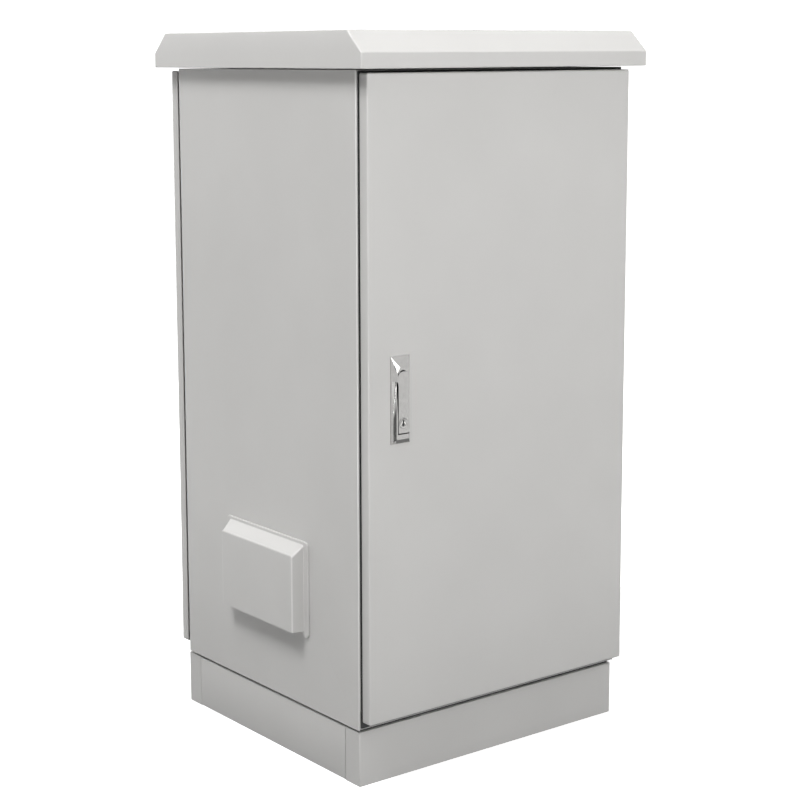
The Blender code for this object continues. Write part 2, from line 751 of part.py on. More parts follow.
def fan_housing(z):
    """Square axial fan: bored body, with spokes that hold the motor's base and shaft at the inner end."""
    outer, inner = fan_ends()
    half = FAN_SIZE / 2
    square = rounded(rectangle((HOOD_Y - half, z - half), (HOOD_Y + half, z + half)), 0.008)
    corner = half - 0.007
    screws = [circle((HOOD_Y + a * corner, z + b * corner), 0.0022, 8) for a in (-1, 1) for b in (-1, 1)]
    body = prism("X", [square, circle((HOOD_Y, z), FAN_BORE, 36), *screws], outer, inner)
    piece = add_part("fan_housing", body, PLASTIC)
    fuse(piece, drum("X", (HOOD_Y, z), FAN_HUB, inner - FAN_SPOKE, inner, 24))
    for k in range(3):
        build = bmesh.new()
        low = (inner - FAN_SPOKE, -FAN_SPOKE, FAN_HUB - FAN_SPOKE)
        add_block(build, low, (inner, FAN_SPOKE, FAN_BORE + 0.001))
        turn = Matrix.Translation((0, HOOD_Y, z)) @ Matrix.Rotation(math.radians(120 * k), 4, "X")
        bmesh.ops.transform(build, matrix=turn, verts=build.verts)
        fuse(piece, mesh_from(build))
    fuse(piece, drum("X", (HOOD_Y, z), FAN_SHAFT, outer + FAN_SHAFT_END, inner - FAN_SPOKE / 2, 12))
    return piece


def fan_blade(centre, inner_radius, outer_radius, turn):
    """A twisted, cambered blade: its pitch falls from root to tip, and the chord bends by an eighth."""
    steps_out, steps_along = 3, 4
    rings = []
    for k in range(steps_out + 1):
        share = k / steps_out
        radius = inner_radius + (outer_radius - inner_radius) * share
        pitch = math.radians(52 - 22 * share)
        chord = 0.026 + 0.012 * share
        ring = []
        for side in (1, -1):
            for step in range(steps_along + 1)[::side]:
                along = step / steps_along - 0.5
                height = chord / 8 * (1 - 4 * along * along) + side * FAN_BLADE_WALL / 2
                axial = along * chord * math.sin(pitch) + height * math.cos(pitch)
                around = along * chord * math.cos(pitch) - height * math.sin(pitch)
                angle = turn + around / radius + 0.15 * share
                offset = Vector((axial, radius * math.cos(angle), radius * math.sin(angle)))
                ring.append(centre + offset)
        rings.append(ring)
    return loft(rings)


def fan_rotor(z):
    """Hub cup with the blades, running on the housing's shaft."""
    outer, inner = fan_ends()
    low, high = outer + 0.003, inner - FAN_SPOKE - 0.0008
    piece = add_part("fan_rotor", drum("X", (HOOD_Y, z), FAN_HUB, low, high, 24), PLASTIC)
    centre = Vector(((low + high) / 2, HOOD_Y, z))
    for k in range(FAN_BLADES):
        turn = 2 * math.pi * k / FAN_BLADES
        fuse(piece, fan_blade(centre, FAN_HUB - 0.002, FAN_BORE - FAN_TIP_GAP, turn))
    cut(piece, drum("X", (HOOD_Y, z), FAN_SHAFT + RUNNING, outer + FAN_SHAFT_END - 0.0008, high + 0.001, 12))
    return piece


# Rack

def rack_rail(name, side, end):
    """Angle with one square hole in three at each unit's middle and ends, to the 19-inch standard."""
    face_y = end * (DEPTH / 2 - RAIL_SETBACK)
    inner_x = RACK_CLEAR / 2
    outline = [(inner_x, face_y), (RACK_OUTER, face_y), (RACK_OUTER, face_y - end * RAIL_RETURN)]
    profile = [(side * x, y) for x, y in rounded(outline, FOLD, closed=False)]
    low, high = RACK_LOW - RAIL_END, RACK_LOW + RACK_HEIGHT + RAIL_END
    piece = add_part(name, folded_strip("Z", profile, low, high), ZINC)
    thicken(piece, SHEET, -1)
    holes = bmesh.new()
    half = RACK_HOLE / 2
    x = side * RACK_HOLE_LINE / 2
    for unit in range(RACK_UNITS):
        for step in range(3):
            z = RACK_LOW + unit * RACK_UNIT + RACK_FIRST_HOLE + step * RACK_HOLE_STEP
            add_block(holes, (x - half, face_y - 2 * SHEET, z - half), (x + half, face_y + 2 * SHEET, z + half))
    cut(piece, mesh_from(holes))
    return piece


def depth_rail(name, side, low):
    """Channel along the cabinet that carries a front and a rear rail off the side panel."""
    web = RACK_OUTER + FIT
    outer = BEHIND_PANEL
    high = low + SUPPORT_HEIGHT
    outline = [(outer, low), (web, low), (web, high), (outer, high)]
    profile = [(side * x, z) for x, z in rounded(outline, FOLD, closed=False)]
    piece = add_part(name, folded_strip("Y", profile, FRONT + RAIL_CLEAR, REAR - RAIL_CLEAR), ZINC)
    thicken(piece, SHEET, -1)
    return piece


# Doors

def door_pan(name, sign):
    """Pan folded from one sheet, notched at each hinge on its hinge side."""
    low = (-DOOR_HALF, min(sign * DOOR_FACE, sign * (DOOR_FACE + DOOR_PAN)), DOOR_LOW)
    high = (DOOR_HALF, max(sign * DOOR_FACE, sign * (DOOR_FACE + DOOR_PAN)), DOOR_HIGH)
    piece = add_part(name, open_pan(low, high, "Y+" if sign > 0 else "Y-"), POWDER)
    thicken(piece, DOOR_SHEET, -1)
    for z in hinge_heights():
        ends = sorted((sign * (DOOR_FACE + DOOR_PAN + 0.001), sign * (HINGE_Y - 0.0015)))
        cut(
            piece,
            block(
                (DOOR_HALF - 2 * DOOR_SHEET, ends[0], z - HINGE_HALF - 0.003),
                (DOOR_HALF + DOOR_SHEET, ends[1], z + 0.002),
            ),
        )
    return piece


def door_gasket(name, sign):
    """Foam ring in the pan, pressed by the gutter lip."""
    middle = SHEET / 2
    half = GASKET_WIDTH / 2

    def ring(grow):
        reach = grow - middle
        return rectangle((-LIP_SIDE - reach, LIP_FOOT - reach), (LIP_SIDE + reach, LIP_HEAD + reach))

    ends = sorted((sign * (DOOR_INNER + FIT), sign * (LIP_FRONT - FIT)))
    return add_part(name, prism("Y", [ring(half), ring(-half)], *ends), FOAM)


def hinge_heights():
    return (DOOR_LOW + HINGE_INSET, DOOR_HIGH - HINGE_INSET)


def hinge_body_half(name, sign, z):
    """Plate on the body's flange with a goose-neck arm to the hinge axis, clear of the door's edge."""
    back = body_edge(sign) - FIT - HINGE_Y
    face = back - HINGE_PLATE
    near = HINGE_RING - 0.0016
    far = HINGE_X - LIP_SIDE - 0.0013
    bend = HINGE_RING + 0.0006
    outline = arc((0, 0), HINGE_RING, -170, 90, 8) + [
        (-bend, bend + 0.0032), (-bend - 0.0018, face), (-near, face), (-near, back), (-far, back), (-far, face),
        (-bend - 0.002 - HINGE_NECK, face), (-bend - HINGE_NECK + 0.0002, bend + 0.0010),
    ]
    points = [(HINGE_X + u, sign * (HINGE_Y + v)) for u, v in outline]
    bore = circle((HINGE_X, sign * HINGE_Y), HINGE_PIN + FIT, 12)
    return add_part(name, prism("Z", [points, bore], z - HINGE_HALF, z), ZINC)


def hinge_door_half(name, sign, z):
    """Block on the door's inner face with the pin that drops into the body half."""
    inner = DOOR_INNER + FIT - HINGE_Y
    ring = HINGE_RING
    end = HINGE_X - GASKET_OUTER - 0.001
    outline = arc((0, 0), ring, 0, 180, 6) + [
        (-ring, inner + SHEET), (-end, inner + SHEET), (-end, inner), (ring - 0.0015, inner),
        (ring, inner + 0.0015),
    ]
    points = [(HINGE_X + u, sign * (HINGE_Y + v)) for u, v in outline]
    piece = add_part(name, prism("Z", [points], z + FIT, z + FIT + HINGE_HALF), ZINC)
    pin = drum("Z", (HINGE_X, sign * HINGE_Y), HINGE_PIN, z - HINGE_HALF, z + 0.004, 12)
    fuse(piece, pin)
    return piece


# Swing handle. Its pieces are drawn on the door's face: across, up, and proud of it.

def proud(height):
    return DOOR_FACE - height


def face_prism(outlines, low, high):
    """Outlines on the door's face, between two heights above it."""
    return prism("Y", outlines, proud(high), proud(low))


def side_prism(outline, low_x, high_x):
    """An outline of (up, proud) points, carried across the handle."""
    return prism("X", [[(proud(h), z) for z, h in outline]], low_x, high_x)


def handle_block(low_x, high_x, low_z, high_z, low, high):
    return block(
        (HANDLE_X + low_x, proud(high), low_z), (HANDLE_X + high_x, proud(low), high_z)
    )


def boss_outline(grow):
    """The boss behind the handle's base, or the hole for it."""
    low = (HANDLE_X - BOSS_HALF - grow, TURN_Z - BOSS_BELOW - grow)
    high = (HANDLE_X + BOSS_HALF + grow, TURN_Z + BOSS_ABOVE + grow)
    return rounded(rectangle(low, high), BOSS_CORNER + grow)


def handle_base():
    """Bevelled casting with the lever's recess, a finger scoop, and a boss through the door."""
    foot, head = HANDLE_FOOT, HANDLE_FOOT + HANDLE_HEIGHT
    half = HANDLE_WIDTH / 2
    crest = LEVER_SLOT + HANDLE_WALL
    edge = rounded(rectangle((HANDLE_X - half, foot), (HANDLE_X + half, head)), 0.002)
    top = rounded(
        rectangle(
            (HANDLE_X - crest, foot + HANDLE_FOOT_RUN), (HANDLE_X + crest, head - HANDLE_TOP_RUN)
        ),
        0.001,
    )
    rings = [[(x, proud(FIT), z) for x, z in edge], [(x, proud(HANDLE_EDGE), z) for x, z in edge]]
    rings.append([(x, proud(HANDLE_PROUD), z) for x, z in top])
    piece = add_part("handle_base", loft(rings), CHROME)
    fuse(piece, face_prism([boss_outline(0)], -BOSS_REACH, HANDLE_EDGE / 2))
    slot = LEVER_SLOT
    seat_radius = LEVER_HALF + SEAT_GAP
    lean = math.degrees(math.acos(slot / seat_radius))
    end = TURN_Z - LEVER_LENGTH - LEVER_END_GAP
    seat = [(HANDLE_X - slot, end), (HANDLE_X + slot, end)]
    seat += arc((HANDLE_X, TURN_Z), seat_radius, -lean, 180 + lean, 16)
    cut(piece, face_prism([seat], HANDLE_FLOOR, 2 * HANDLE_PROUD))
    step = TURN_Z - 0.007
    swing = TURN_Z + LEVER_HALF + 0.0006
    tall = 2 * HANDLE_PROUD
    cut(piece, handle_block(slot - 0.001, half + 0.001, end, step, HANDLE_FLOOR, tall))
    cut(piece, handle_block(0.002, half + 0.001, step - 0.001, swing, LEVER_BACK - FIT, tall))
    scoop = [(step, 0.0035), (step, tall), (step - 0.073, tall), (step - 0.073, HANDLE_PROUD)]
    cut(piece, side_prism(scoop, HANDLE_X - half - 0.001, HANDLE_X - slot + 0.001))
    finger = [
        (step, HANDLE_FLOOR), (step, tall), (step - 0.079, tall), (step - 0.079, HANDLE_PROUD),
        (step - 0.030, HANDLE_FLOOR),
    ]
    cut(piece, side_prism(finger, HANDLE_X - slot - 0.0042, HANDLE_X - slot + 0.001))
    cut(piece, drum("Y", (HANDLE_X, TURN_Z), HUB_RADIUS + RUNNING, proud(0.004), proud(-0.02), 32))
    return piece


def cut_handle_hole(door):
    """Cut-out in the door for the handle's boss."""
    cut(door, face_prism([boss_outline(RUNNING)], -2 * DOOR_SHEET, 2 * DOOR_SHEET))


def handle_hub():
    """Turning disc with the tongue that carries the lever's pin, and a square socket behind."""
    front, back = proud(HANDLE_FLOOR + 0.0005), proud(0.001 - BOSS_REACH)
    piece = add_part("handle_hub", drum("Y", (HANDLE_X, TURN_Z), HUB_RADIUS, front, back, 32), CHROME)
    pin_z = TURN_Z + PIN_RISE
    over = arc((pin_z, PIN_PROUD), TONGUE_RADIUS, 0, 180, 8)
    tongue = over + [(pin_z - TONGUE_RADIUS, 0.001), (pin_z + TONGUE_RADIUS, 0.001)]
    fuse(piece, side_prism(tongue, HANDLE_X - TONGUE_HALF, HANDLE_X + TONGUE_HALF))
    cut(piece, pin_bore())
    half = SPINDLE / 2 + PIN_FIT
    cut(piece, handle_block(-half, half, TURN_Z - half, TURN_Z + half, -2 * BOSS_REACH, -HUB_FLOOR))
    return piece


def pin_bore():
    """Cutter for the lever's pin, right across the handle."""
    across = (HANDLE_X - HANDLE_WIDTH, HANDLE_X + HANDLE_WIDTH)
    return drum("X", (proud(PIN_PROUD), TURN_Z + PIN_RISE), LEVER_PIN + PIN_FIT, *across, 12)


def lever():
    """Flat lever with a round head, pocketed for the tongue and bored for the lock."""
    end = TURN_Z - LEVER_LENGTH
    outline = [(HANDLE_X - LEVER_HALF, end + 0.001), (HANDLE_X - LEVER_HALF + 0.001, end)]
    outline += [(HANDLE_X + LEVER_HALF - 0.001, end), (HANDLE_X + LEVER_HALF, end + 0.001)]
    outline += arc((HANDLE_X, TURN_Z), LEVER_HALF, 0, 180, 16)
    piece = add_part("lever", face_prism([outline], LEVER_BACK, HANDLE_PROUD), CHROME)
    soften(piece, 0.0005, 2, 50)
    low = TURN_Z + PIN_RISE - TONGUE_RADIUS - 0.0005
    half = TONGUE_HALF + FIT
    cut(piece, handle_block(-half, half, low, TURN_Z + 2 * LEVER_HALF, 0, PIN_PROUD + TONGUE_RADIUS + 0.00025))
    cut(piece, pin_bore())
    hole = BARREL_RADIUS + FIT
    cut(piece, drum("Y", (HANDLE_X, TURN_Z - BARREL_DROP), hole, proud(2 * HANDLE_PROUD), proud(0), 32))
    return piece


def lever_pin():
    """Pin across the lever's head, its ends a little inside the head's round."""
    half = math.sqrt(LEVER_HALF**2 - PIN_RISE**2) - 0.0005
    across = (HANDLE_X - half, HANDLE_X + half)
    return add_part("lever_pin", drum("X", (proud(PIN_PROUD), TURN_Z + PIN_RISE), LEVER_PIN, *across, 12), STEEL)


def lock_barrel():
    """Ring pressed into the lever that carries the lock's cylinder."""
    centre = (HANDLE_X, TURN_Z - BARREL_DROP)
    outlines = [circle(centre, BARREL_RADIUS, 32), circle(centre, CYLINDER_RADIUS + FIT, 24)]
    return add_part("lock_barrel", face_prism(outlines, LEVER_BACK - RUNNING, HANDLE_PROUD + 0.0003), CHROME)


def lock_cylinder():
    """Key cylinder with its keyhole and the cam behind."""
    x, z = HANDLE_X, TURN_Z - BARREL_DROP
    back = HANDLE_FLOOR + 0.0006
    piece = add_part("lock_cylinder", drum("Y", (x, z), CYLINDER_RADIUS, proud(HANDLE_PROUD), proud(back), 24), CHROME)
    cam = rounded(rectangle((x - 0.0025, z - 0.003), (x + 0.0025, z + LEVER_HALF - 0.0002)), 0.001, 2)
    fuse(piece, face_prism([cam], back, LEVER_BACK - 2 * RUNNING))
    key = [(x - 0.0008, z - 0.001), (x - 0.0008, z + 0.0042), (x + 0.0008, z + 0.0042), (x + 0.0008, z - 0.001)]
    key = key[:1] + arc((x, z - 0.0025), 0.0016, 120, 420, 8) + key[2:3] + key[1:2]
    cut(piece, face_prism([key], 0.0065, 0.02))
    return piece


def spindle():
    half = SPINDLE / 2
    reach = BOSS_REACH + GEAR_WIDTH + 0.006
    mesh = handle_block(-half, half, TURN_Z - half, TURN_Z + half, -reach, -HUB_FLOOR - FIT)
    return add_part("spindle", mesh, STEEL)


# Pinion and rack rods

def involute_flank(base, start, end, steps):
    """(radius, angle) along an involute of the base circle."""
    made = []
    for k in range(steps + 1):
        radius = start + (end - start) * k / steps
        roll = math.sqrt(max((radius / base) ** 2 - 1, 0))
        made.append((radius, roll - math.atan(roll)))
    return made


def pinion():
    """Involute pinion: teeth thinned by half the backlash."""
    base = GEAR_RADIUS * math.cos(GEAR_ANGLE)
    tip = GEAR_RADIUS + GEAR_MODULE
    root = GEAR_RADIUS - 1.2 * GEAR_MODULE
    half_tooth = (math.pi * GEAR_MODULE / 2 - GEAR_BACKLASH / 2) / 2 / GEAR_RADIUS
    at_pitch = math.tan(GEAR_ANGLE) - GEAR_ANGLE
    flank = involute_flank(base, base, tip, 2)
    outline = []
    for tooth in range(GEAR_TEETH):
        middle = 2 * math.pi * tooth / GEAR_TEETH
        rise = [(root, -half_tooth - at_pitch)] + [(r, -half_tooth - at_pitch + a) for r, a in flank]
        fall = [(r, -a) for r, a in rise[::-1]]
        outline += [(r * math.cos(middle + a), r * math.sin(middle + a)) for r, a in rise + fall]
    outline = [(HANDLE_X + a, TURN_Z + b) for a, b in outline]
    half = SPINDLE / 2 + PIN_FIT
    bore = rectangle((HANDLE_X - half, TURN_Z - half), (HANDLE_X + half, TURN_Z + half))
    return add_part("pinion", prism("Y", [outline, bore], GEAR_FRONT, GEAR_REAR), STEEL)


def rack_rod(name, side, up):
    """Flat locking rod, toothed where the pinion drives it and ramped at its far end."""
    pitch = math.pi * GEAR_MODULE
    edge = GEAR_RADIUS - GEAR_MODULE
    valley = GEAR_RADIUS + 1.2 * GEAR_MODULE
    half = (pitch / 2 - GEAR_BACKLASH / 2) / 2
    slope = math.tan(GEAR_ANGLE)
    centres = [(k - 1) * pitch - pitch / 2 for k in range(7)]
    near = centres[0] - pitch / 2 - 0.001
    outline = [(ROD_BACK, near), (valley, near)]
    for centre in centres:
        tip = half - (GEAR_RADIUS - edge) * slope
        foot = half + (valley - GEAR_RADIUS) * slope
        outline += [(valley, centre - foot), (edge, centre - tip), (edge, centre + tip), (valley, centre + foot)]
    plain = centres[-1] + pitch / 2 + 0.001
    opening = LIP_HEAD - SHEET - TURN_Z if up > 0 else TURN_Z - LIP_FOOT - SHEET
    far = opening - ROD_END_GAP
    outline += [(valley, plain), (edge, plain), (edge, far - 0.012), (edge + 0.003, far), (ROD_BACK - 0.003, far)]
    outline += [(ROD_BACK, far - 0.012)]
    points = [(HANDLE_X + side * across, TURN_Z + up * along) for across, along in outline]
    return add_part(name, prism("Y", [points], GEAR_FRONT, GEAR_REAR), STEEL)


def hat_cover(name, low_x, high_x, low_z, high_z):
    """Folded hat section on the door's inner face, over what slides or turns inside it."""
    half = COVER_SHEET / 2
    foot = DOOR_INNER + FIT + half
    top = GEAR_REAR + FIT + RUNNING + half
    low, high = low_x - half, high_x + half
    wide = COVER_FLANGE + half
    corners = [(low - wide, foot), (low, foot), (low, top), (high, top), (high, foot), (high + wide, foot)]
    piece = add_part(name, folded_strip("Z", rounded(corners, 0.0015, 2, closed=False), low_z, high_z), ZINC)
    thicken(piece, COVER_SHEET, 0)
    return piece


def gear_cover():
    reach = ROD_BACK + RUNNING
    piece = hat_cover("gear_cover", HANDLE_X - reach, HANDLE_X + reach, TURN_Z - COVER_HALF, TURN_Z + COVER_HALF)
    hole = SPINDLE / 2 * math.sqrt(2) + RUNNING
    cut(piece, drum("Y", (HANDLE_X, TURN_Z), hole, GEAR_REAR - 0.001, GEAR_REAR + 0.004, 24))
    return piece


def rod_guide(name, side, z):
    edges = sorted((HANDLE_X + side * (GEAR_RADIUS - GEAR_MODULE - RUNNING), HANDLE_X + side * (ROD_BACK + RUNNING)))
    return hat_cover(name, *edges, z - GUIDE_HALF, z + GUIDE_HALF)


# Rear door locks

def rear_lock(name, z):
    """Quarter-turn lock in the rear door: domed head, shaft and cam."""
    x = REAR_LOCK_X
    face = -DOOR_FACE
    end = face - REAR_LOCK_REACH
    piece = add_part(name, drum("Y", (x, z), REAR_LOCK_SHAFT, end, face + 0.001, 20), CHROME)
    head = loft([
        [(x + a, face + FIT, z + b) for a, b in circle((0, 0), REAR_LOCK_HEAD, 20)],
        [(x + a, face + 0.002, z + b) for a, b in circle((0, 0), REAR_LOCK_HEAD, 20)],
        [(x + a, face + 0.004, z + b) for a, b in circle((0, 0), REAR_LOCK_HEAD - 0.003, 20)],
    ])
    cam = rounded(
        rectangle((x - CAM_LENGTH, z - CAM_WIDTH / 2), (x + CAM_WIDTH / 2, z + CAM_WIDTH / 2)), 0.004
    )
    fuse(piece, head, prism("Y", [cam], end, end + CAM_SHEET))
    key = circle((x, z), 0.005, 3)
    cut(piece, prism("Y", [key], face - 0.006, face + 0.01))
    return piece


def cut_lock_hole(door, z):
    hole = REAR_LOCK_SHAFT + 0.0007
    cut(door, drum("Y", (REAR_LOCK_X, z), hole, -DOOR_FACE - 2 * DOOR_SHEET, -DOOR_FACE + DOOR_SHEET, 20))


# Assembly

def build_plinth():
    plinth_end("plinth_front", -1)
    plinth_end("plinth_rear", 1)
    plinth_side("plinth_left", -1)
    plinth_side("plinth_right", 1)
    plinth_seal()


def build_body():
    floor_pan()
    body_pan("top_pan", HEAD - FRAME_FLANGE, HEAD, "Z-")
    side_panel("side_panel_left", -1, INLET_Z)
    side_panel("side_panel_right", 1, OUTLET_Z)
    gutter_frame("front_frame", 1)
    gutter_frame("rear_frame", -1)
    cable_grommet("cable_grommet_left", -GROMMET_X)
    cable_grommet("cable_grommet_right", GROMMET_X)
    roof_cap()
    roof_bracket("roof_bracket_left", -1)
    roof_bracket("roof_bracket_right", 1)


def build_ventilation():
    for name, sign, z in (("inlet", -1, INLET_Z), ("outlet", 1, OUTLET_Z)):
        vent_hood(name + "_hood", sign, z)
        filter_frame(name + "_filter_frame", sign, z)
        filter_mat(name + "_filter_mat", sign, z)
    fan_housing(INLET_Z)
    axis = empty_at("fan_axis", (0, HOOD_Y, INLET_Z))
    rotor = fan_rotor(INLET_Z)
    carry_with_helpers(axis, rotor)


def build_rack():
    for side_name, side in (("left", -1), ("right", 1)):
        for end_name, end in (("front", -1), ("rear", 1)):
            rack_rail(f"rack_rail_{end_name}_{side_name}", side, end)
        depth_rail(f"depth_rail_lower_{side_name}", side, RACK_LOW - RAIL_END)
        depth_rail(f"depth_rail_upper_{side_name}", side, RACK_LOW + RACK_HEIGHT + RAIL_END - SUPPORT_HEIGHT)


def carry_with_helpers(parent, *pieces):
    """Parents pieces, and the helpers of their Booleans, to a joint's empty."""
    for piece in pieces:
        helpers = [m.object for m in piece.modifiers if m.type == "BOOLEAN"]
        carry(parent, piece, *helpers)


def build_front_door():
    hinge = empty_at("front_hinge_axis", (HINGE_X, HINGE_Y, FOOT))
    door = door_pan("front_door", 1)
    cut_handle_hole(door)
    carry_with_helpers(hinge, door, door_gasket("front_door_gasket", 1), handle_base(), gear_cover())
    carry_with_helpers(hinge, rod_guide("rod_guide_upper", -1, LIP_HEAD - GUIDE_INSET))
    carry_with_helpers(hinge, rod_guide("rod_guide_lower", 1, LIP_FOOT + GUIDE_INSET))
    for k, z in enumerate(hinge_heights()):
        place = ("lower", "upper")[k]
        hinge_body_half(f"front_hinge_{place}_body_half", 1, z)
        carry_with_helpers(hinge, hinge_door_half(f"front_hinge_{place}_door_half", 1, z))
    turn = empty_at("handle_axis", (HANDLE_X, DOOR_FACE, TURN_Z), hinge)
    carry_with_helpers(turn, handle_hub(), lever_pin(), spindle(), pinion())
    lift = empty_at("lever_axis", (HANDLE_X, proud(PIN_PROUD), TURN_Z + PIN_RISE), turn)
    carry_with_helpers(lift, lever(), lock_barrel())
    key = empty_at("key_axis", (HANDLE_X, proud(HANDLE_PROUD), TURN_Z - BARREL_DROP), lift)
    carry_with_helpers(key, lock_cylinder())
    carry_with_helpers(hinge, rack_rod("rod_upper", -1, 1), rack_rod("rod_lower", 1, -1))


def build_rear_door():
    hinge = empty_at("rear_hinge_axis", (HINGE_X, -HINGE_Y, FOOT))
    door = door_pan("rear_door", -1)
    heights = (DOOR_LOW + REAR_LOCK_INSET, DOOR_HIGH - REAR_LOCK_INSET)
    for z in heights:
        cut_lock_hole(door, z)
    carry_with_helpers(hinge, door, door_gasket("rear_door_gasket", -1))
    for k, z in enumerate(hinge_heights()):
        place = ("lower", "upper")[k]
        hinge_body_half(f"rear_hinge_{place}_body_half", -1, z)
        carry_with_helpers(hinge, hinge_door_half(f"rear_hinge_{place}_door_half", -1, z))
    for place, z in zip(("lower", "upper"), heights):
        axis = empty_at(f"rear_lock_{place}_axis", (REAR_LOCK_X, -DOOR_FACE, z), hinge)
        carry_with_helpers(axis, rear_lock(f"rear_lock_{place}", z))


build_plinth()
build_body()
build_rack()
build_ventilation()
build_front_door()
build_rear_door()
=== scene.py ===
import json
import math

import bmesh
import bpy
import numpy as np
from mathutils import Matrix, Vector

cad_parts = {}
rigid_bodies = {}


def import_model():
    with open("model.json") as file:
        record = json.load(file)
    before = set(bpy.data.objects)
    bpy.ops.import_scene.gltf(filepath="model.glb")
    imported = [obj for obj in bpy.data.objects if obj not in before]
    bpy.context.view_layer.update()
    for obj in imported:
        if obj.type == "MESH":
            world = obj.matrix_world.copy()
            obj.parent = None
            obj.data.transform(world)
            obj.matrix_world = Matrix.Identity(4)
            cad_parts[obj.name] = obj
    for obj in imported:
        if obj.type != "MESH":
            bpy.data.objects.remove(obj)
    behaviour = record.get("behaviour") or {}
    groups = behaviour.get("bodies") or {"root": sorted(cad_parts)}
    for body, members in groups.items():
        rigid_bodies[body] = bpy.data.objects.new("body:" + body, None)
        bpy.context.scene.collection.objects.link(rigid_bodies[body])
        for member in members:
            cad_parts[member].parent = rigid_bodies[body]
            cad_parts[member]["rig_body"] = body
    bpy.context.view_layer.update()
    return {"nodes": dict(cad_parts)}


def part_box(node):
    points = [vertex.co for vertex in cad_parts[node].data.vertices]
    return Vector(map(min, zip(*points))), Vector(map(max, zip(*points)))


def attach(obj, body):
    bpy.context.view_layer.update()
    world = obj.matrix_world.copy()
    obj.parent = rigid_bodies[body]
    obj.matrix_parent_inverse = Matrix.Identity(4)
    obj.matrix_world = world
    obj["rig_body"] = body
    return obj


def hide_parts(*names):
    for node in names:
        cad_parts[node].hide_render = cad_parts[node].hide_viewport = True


# Outdoor rack cabinet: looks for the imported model.
# Metres, +Z up, front door towards -Y, swing handle on the -X side.

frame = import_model()
nodes = frame["nodes"]
scene = bpy.context.scene
scene.view_settings.view_transform = "Standard"
print("frame loaded:", len(nodes), "nodes")


view = {
    "place": (-2.0801, -2.6516, 1.2408),
    "heading": 37.125,      # degrees from +Y towards +X
    "down": 8.506,
    "roll": -0.286,
    "lens": 82.42,
    "sensor": 36,
    "shift": (0.0429, -0.0928),
}


def makeCamera():
    data = bpy.data.cameras.new("camera")
    data.sensor_width = view["sensor"]
    data.lens = view["lens"]
    data.shift_x, data.shift_y = view["shift"]
    eye = bpy.data.objects.new("camera", data)
    scene.collection.objects.link(eye)
    turn, tip, roll = (math.radians(a) for a in (-view["heading"], 90 - view["down"], view["roll"]))
    eye.matrix_world = (Matrix.Translation(view["place"]) @ Matrix.Rotation(turn, 4, "Z")
                        @ Matrix.Rotation(tip, 4, "X") @ Matrix.Rotation(roll, 4, "Z"))
    scene.camera = eye


makeCamera()
print("camera ready")


# Finishes. Sizes in each dictionary are in millimetres, colours are sRGB.

def linear(shade):
    # an sRGB hex colour as linear red, green, blue and alpha
    parts = np.array([int(shade[i:i + 2], 16) for i in (1, 3, 5)]) / 255
    parts = np.where(parts > 0.04045, ((parts + 0.055) / 1.055) ** 2.4, parts / 12.92)
    return (*parts.tolist(), 1.0)


def addNode(tree, kind, values=None, links=None, **settings):
    # one node: its own settings, then socket values, then links from other sockets
    node = tree.nodes.new("ShaderNode" + kind)
    for name, value in settings.items():
        setattr(node, name, value)
    for socket, value in (values or {}).items():
        node.inputs[socket].default_value = value
    for socket, source in (links or {}).items():
        tree.links.new(source, node.inputs[socket])
    return node


def newFinish(name):
    material = bpy.data.materials.new(name)
    material.use_nodes = True
    tree = material.node_tree
    tree.nodes.clear()
    place = addNode(tree, "TexCoord").outputs["Object"]
    shader = addNode(tree, "BsdfPrincipled")
    addNode(tree, "OutputMaterial", links={"Surface": shader.outputs["BSDF"]})
    return material, tree, shader, place


def dress(made, look, tone, gloss=None, ripple=None, depth=0, fixed=None):
    # What finishes share: deep and pale tone mixed by one pattern, roughness between two
    # values by another, a bump with a depth in millimetres by a third, and on the shader
    # itself what is the same all over.
    _, tree, shader, _ = made
    shade = addNode(tree, "Mix", {6: linear(look["deep"]), 7: linear(look["pale"])}, {0: tone},
                    data_type="RGBA")
    tree.links.new(shade.outputs[2], shader.inputs["Base Color"])
    if gloss:
        dull = addNode(tree, "MapRange", dict(zip(("To Min", "To Max"), look["roughness"])),
                       {"Value": gloss})
        tree.links.new(dull.outputs["Result"], shader.inputs["Roughness"])
    if ripple:
        bump = addNode(tree, "Bump", {"Strength": 1, "Distance": depth / 1000}, {"Height": ripple})
        tree.links.new(bump.outputs["Normal"], shader.inputs["Normal"])
    for socket, value in (fixed or {}).items():
        shader.inputs[socket].default_value = value
    return shade


powder = {
    "pale": "#cbcac8",
    "deep": "#c4c3c1",
    # colour of the painted highlight over an upright fold
    "fold": "#dddcda",
    "cloud": 160,           # across a soft patch of tone
    "peel": 2.6,            # between the waves that the melted powder leaves
    "peelDepth": 0.02,
    "sag": 110,             # across a hollow in the flat sheet
    "sagDepth": 0.10,
    "roughness": (0.40, 0.50),
}


